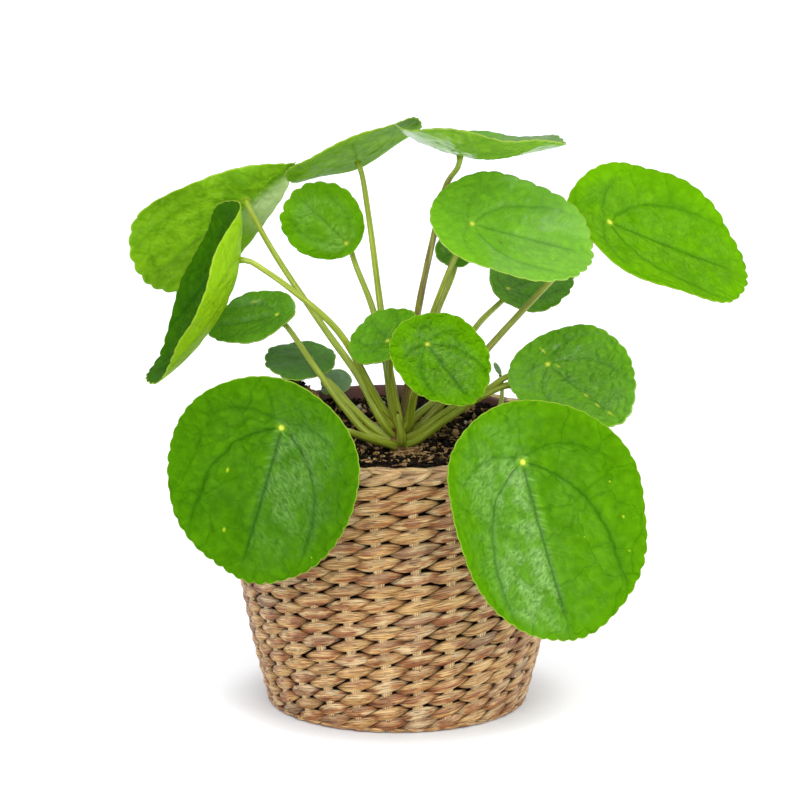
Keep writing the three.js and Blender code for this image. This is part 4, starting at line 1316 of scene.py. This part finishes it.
class PILEA_OT_soil(bpy.types.Operator):
    """Builds the soil with its crumbs, bark chips, fibres and perlite"""
    bl_idname = "pilea.soil"
    bl_label = "Build Soil"

    def execute(self, context):
        settings = context.scene.pilea_pot
        rng = random.Random(SEED + 3)
        middle_x, middle_y, _ = POT_PLACE
        matrix = pot_matrix()
        edge_level = POT_HEIGHT - 3

        def within_rim(angle, share):
            """The soil's surface at a share of the way from the pot's middle to its wall."""
            edge = matrix @ Vector(turned(pot_inner_radius(edge_level) - GAP, angle, edge_level))
            x = middle_x + (edge.x - middle_x) * share
            y = middle_y + (edge.y - middle_y) * share
            return x, y, soil_height(x, y)

        angles = circle(SOIL_SIDES)
        level = POT_WALL + GAP
        foot = matrix @ Vector((0, 0, level))
        radius = pot_inner_radius(POT_WALL) - GAP
        bottom = [matrix @ Vector(turned(radius, angle, level)) for angle in angles]
        rings = [[foot + (p - foot) * 0.02 for p in bottom], bottom]
        for share in np.linspace(1, 0.015, SOIL_RINGS):
            ring = []
            for angle in angles:
                x, y, z = within_rim(angle, share)
                z += 0.9 * jitter(x / 3.2, y / 3.2, 1) + 0.5 * jitter(x / 1.3, y / 1.3, 2) - 0.5
                ring.append((x, y, z))
            rings.append(ring)
        soil = Shape()
        soil.tube(rings, kind=[0.0] * (len(rings) * len(angles)))

        def spot():
            """A place anywhere on the soil."""
            share = sqrt(rng.random()) * 0.975
            return within_rim(rng.uniform(0, 2 * pi), share)

        for _ in range(settings.crumbs):
            x, y, z = spot()
            size = 0.45 + 1.5 * rng.random() ** 2.4
            kind = rng.uniform(0.3, 0.75) if rng.random() < 0.12 else rng.uniform(0, 0.12)
            sizes = np.array([size, size * rng.uniform(0.6, 1), size * rng.uniform(0.5, 0.9)])
            add_lump(soil, rng, (x, y, z + 0.25 * size), sizes, kind)
        soil.piece("soil_bed", soil_finish(settings), "soil", "soil")

        chips = Shape()
        for _ in range(CHIPS):
            x, y, z = spot()
            length = rng.uniform(1.4, 4.2)
            sizes = np.array([length, length * rng.uniform(0.25, 0.5), rng.uniform(0.35, 0.8)])
            add_lump(chips, rng, (x, y, z + 0.6), sizes, rng.uniform(0.45, 1))
        for _ in range(THREADS):
            x, y, z = spot()
            add_thread(chips, rng, (x, y, z + 0.5), rng.uniform(3, 10), rng.uniform(0.12, 0.34),
                       rng.uniform(0.2, 1))
        for _ in range(CLUMP_THREADS):
            x = CLUMP_PLACE[0] + rng.gauss(0, 2.2)
            y = CLUMP_PLACE[1] + rng.gauss(0, 2.5)
            add_thread(chips, rng, (x, y, soil_height(x, y) + 0.6), rng.uniform(6, 12),
                       rng.uniform(0.25, 0.5), rng.uniform(0.8, 1), 0.9)
        chips.piece("bark_chips", soil_finish(settings), "soil", "soil")

        grit = Shape()
        for x, y, size in PERLITE:
            add_lump(grit, rng, (x, y, soil_height(x, y) + size * 0.6),
                     np.array([size, size * 0.85, size * 0.7]), 0)
        finish = Finish("perlite")
        pores = finish.noise(finish.place(), 1400, 3)
        finish.bump(pores * 0.5)
        finish.set(Base_Color=finish.mix(pores, rgb(120, 108, 84), rgb(206, 198, 176)), Roughness=0.85)
        grit.piece("perlite_bits", finish, "soil")
        return {"FINISHED"}


# Stage

class StageSettings(bpy.types.PropertyGroup):
    floor_colour: bpy.props.FloatVectorProperty(
        name="Floor colour", description="Colour of the studio floor", subtype="COLOR", size=3, min=0,
        max=1, default=(0.83, 0.86, 0.92))
    floor_glow: bpy.props.FloatProperty(
        name="Floor glow", description="Light that the lit floor gives off", default=0.37, min=0)
    daylight: bpy.props.FloatProperty(
        name="Daylight", description="Strength of the even light from all round", default=0.62, min=0)
    key_light: bpy.props.FloatProperty(
        name="Key light", description="Strength of the large light from above", default=1.46, min=0)


# The camera's distance from the axis, the degrees by which it looks down, its lens and what it looks at
CAMERA_DISTANCE = 2500
CAMERA_DROP = 13.9
CAMERA_LENS = 259.65
AIM = (1.26, 0, 133.7)

# Each light's share of the key light's strength, its azimuth and height, and how wide it looks
LIGHTS = {
    "key_light": (1, -97, 40, 40),
    "side_light": (0.78, -28, 35, 50),
    "top_light": (0.24, -150, 70, 50),
}


def aim_along(thing, direction):
    """Turns a light or the camera so that it looks back along a direction."""
    thing.rotation_euler = direction.to_track_quat("Z", "Y").to_euler()


class PILEA_OT_stage(bpy.types.Operator):
    """Builds the pale floor, the soft lights and the camera"""
    bl_idname = "pilea.stage"
    bl_label = "Build Stage"

    def execute(self, context):
        scene = context.scene
        settings = scene.pilea_stage
        finish = Finish("studio_floor")
        finish.set(Base_Color=tuple(settings.floor_colour), Roughness=0.6, Specular_IOR_Level=0.2)
        x, y, _ = finish.split(finish.place())
        # Painted contact shadow: the floor's glow is dimmed in a ring round the basket's foot.
        shade = finish.fade(finish.distance(x, y), 0.057, 0.083, 0.25, 1)
        finish.set(Emission_Color=finish.join(shade, shade, shade), Emission_Strength=settings.floor_glow)
        mesh = bpy.data.meshes.new("studio_floor")
        mesh.from_pydata([(-8, -8, 0), (8, -8, 0), (8, 12, 0), (-8, 12, 0)], [], [(0, 1, 2, 3)])
        mesh.materials.append(finish.material)
        placed("studio_floor", mesh)

        world = bpy.data.worlds.new("studio_light")
        world.use_nodes = True
        background = world.node_tree.nodes["Background"]
        background.inputs["Color"].default_value = (1, 1, 1, 1)
        background.inputs["Strength"].default_value = settings.daylight
        scene.world = world

        for name, (share, azimuth, height, softness) in LIGHTS.items():
            light = bpy.data.lights.new(name, "SUN")
            light.energy = settings.key_light * share
            light.angle = radians(softness)
            aim_along(placed(name, light),
                      Vector(turned(cos(radians(height)), radians(azimuth), sin(radians(height)))))

        camera = bpy.data.cameras.new("camera")
        camera.lens = CAMERA_LENS
        camera.sensor_width = 36
        camera.clip_end = 100
        drop = radians(CAMERA_DROP)
        away = Vector((0, -cos(drop), sin(drop)))
        holder = placed("camera", camera)
        holder.location = (Vector(AIM) + away * CAMERA_DISTANCE) * MM
        aim_along(holder, away)
        scene.camera = holder
        scene.view_settings.view_transform = "Standard"
        return {"FINISHED"}


class PILEA_PT_sidebar(bpy.types.Panel):
    """Lists the pieces of the potted pilea"""
    bl_idname = "PILEA_PT_sidebar"
    bl_label = "Potted Pilea"
    bl_space_type = "VIEW_3D"
    bl_region_type = "UI"
    bl_category = "Pilea"

    def draw(self, context):
        for group in GROUPS:
            settings = getattr(context.scene, group)
            box = self.layout.box()
            for name in settings.bl_rna.properties.keys():
                if name not in ("rna_type", "name"):
                    box.prop(settings, name)
        for operator in OPERATORS:
            self.layout.operator(operator.bl_idname)


GROUPS = {
    "pilea_leaves": LeafSettings,
    "pilea_stems": StemSettings,
    "pilea_basket": BasketSettings,
    "pilea_pot": PotSettings,
    "pilea_stage": StageSettings,
}
OPERATORS = [
    PILEA_OT_stage,
    PILEA_OT_leaves,
    PILEA_OT_young_leaves,
    PILEA_OT_stems,
    PILEA_OT_weave,
    PILEA_OT_lining,
    PILEA_OT_border,
    PILEA_OT_pot,
    PILEA_OT_soil,
]


def register():
    for name, group in GROUPS.items():
        bpy.utils.register_class(group)
        setattr(bpy.types.Scene, name, bpy.props.PointerProperty(type=group))
    for operator in OPERATORS:
        bpy.utils.register_class(operator)
    bpy.utils.register_class(PILEA_PT_sidebar)


def unregister():
    bpy.utils.unregister_class(PILEA_PT_sidebar)
    for operator in reversed(OPERATORS):
        bpy.utils.unregister_class(operator)
    for name, group in GROUPS.items():
        delattr(bpy.types.Scene, name)
        bpy.utils.unregister_class(group)


def main():
    register()
    for operator in OPERATORS:
        getattr(bpy.ops.pilea, operator.bl_idname.split(".")[1])()
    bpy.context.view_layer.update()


if __name__ == "__main__":
    main()
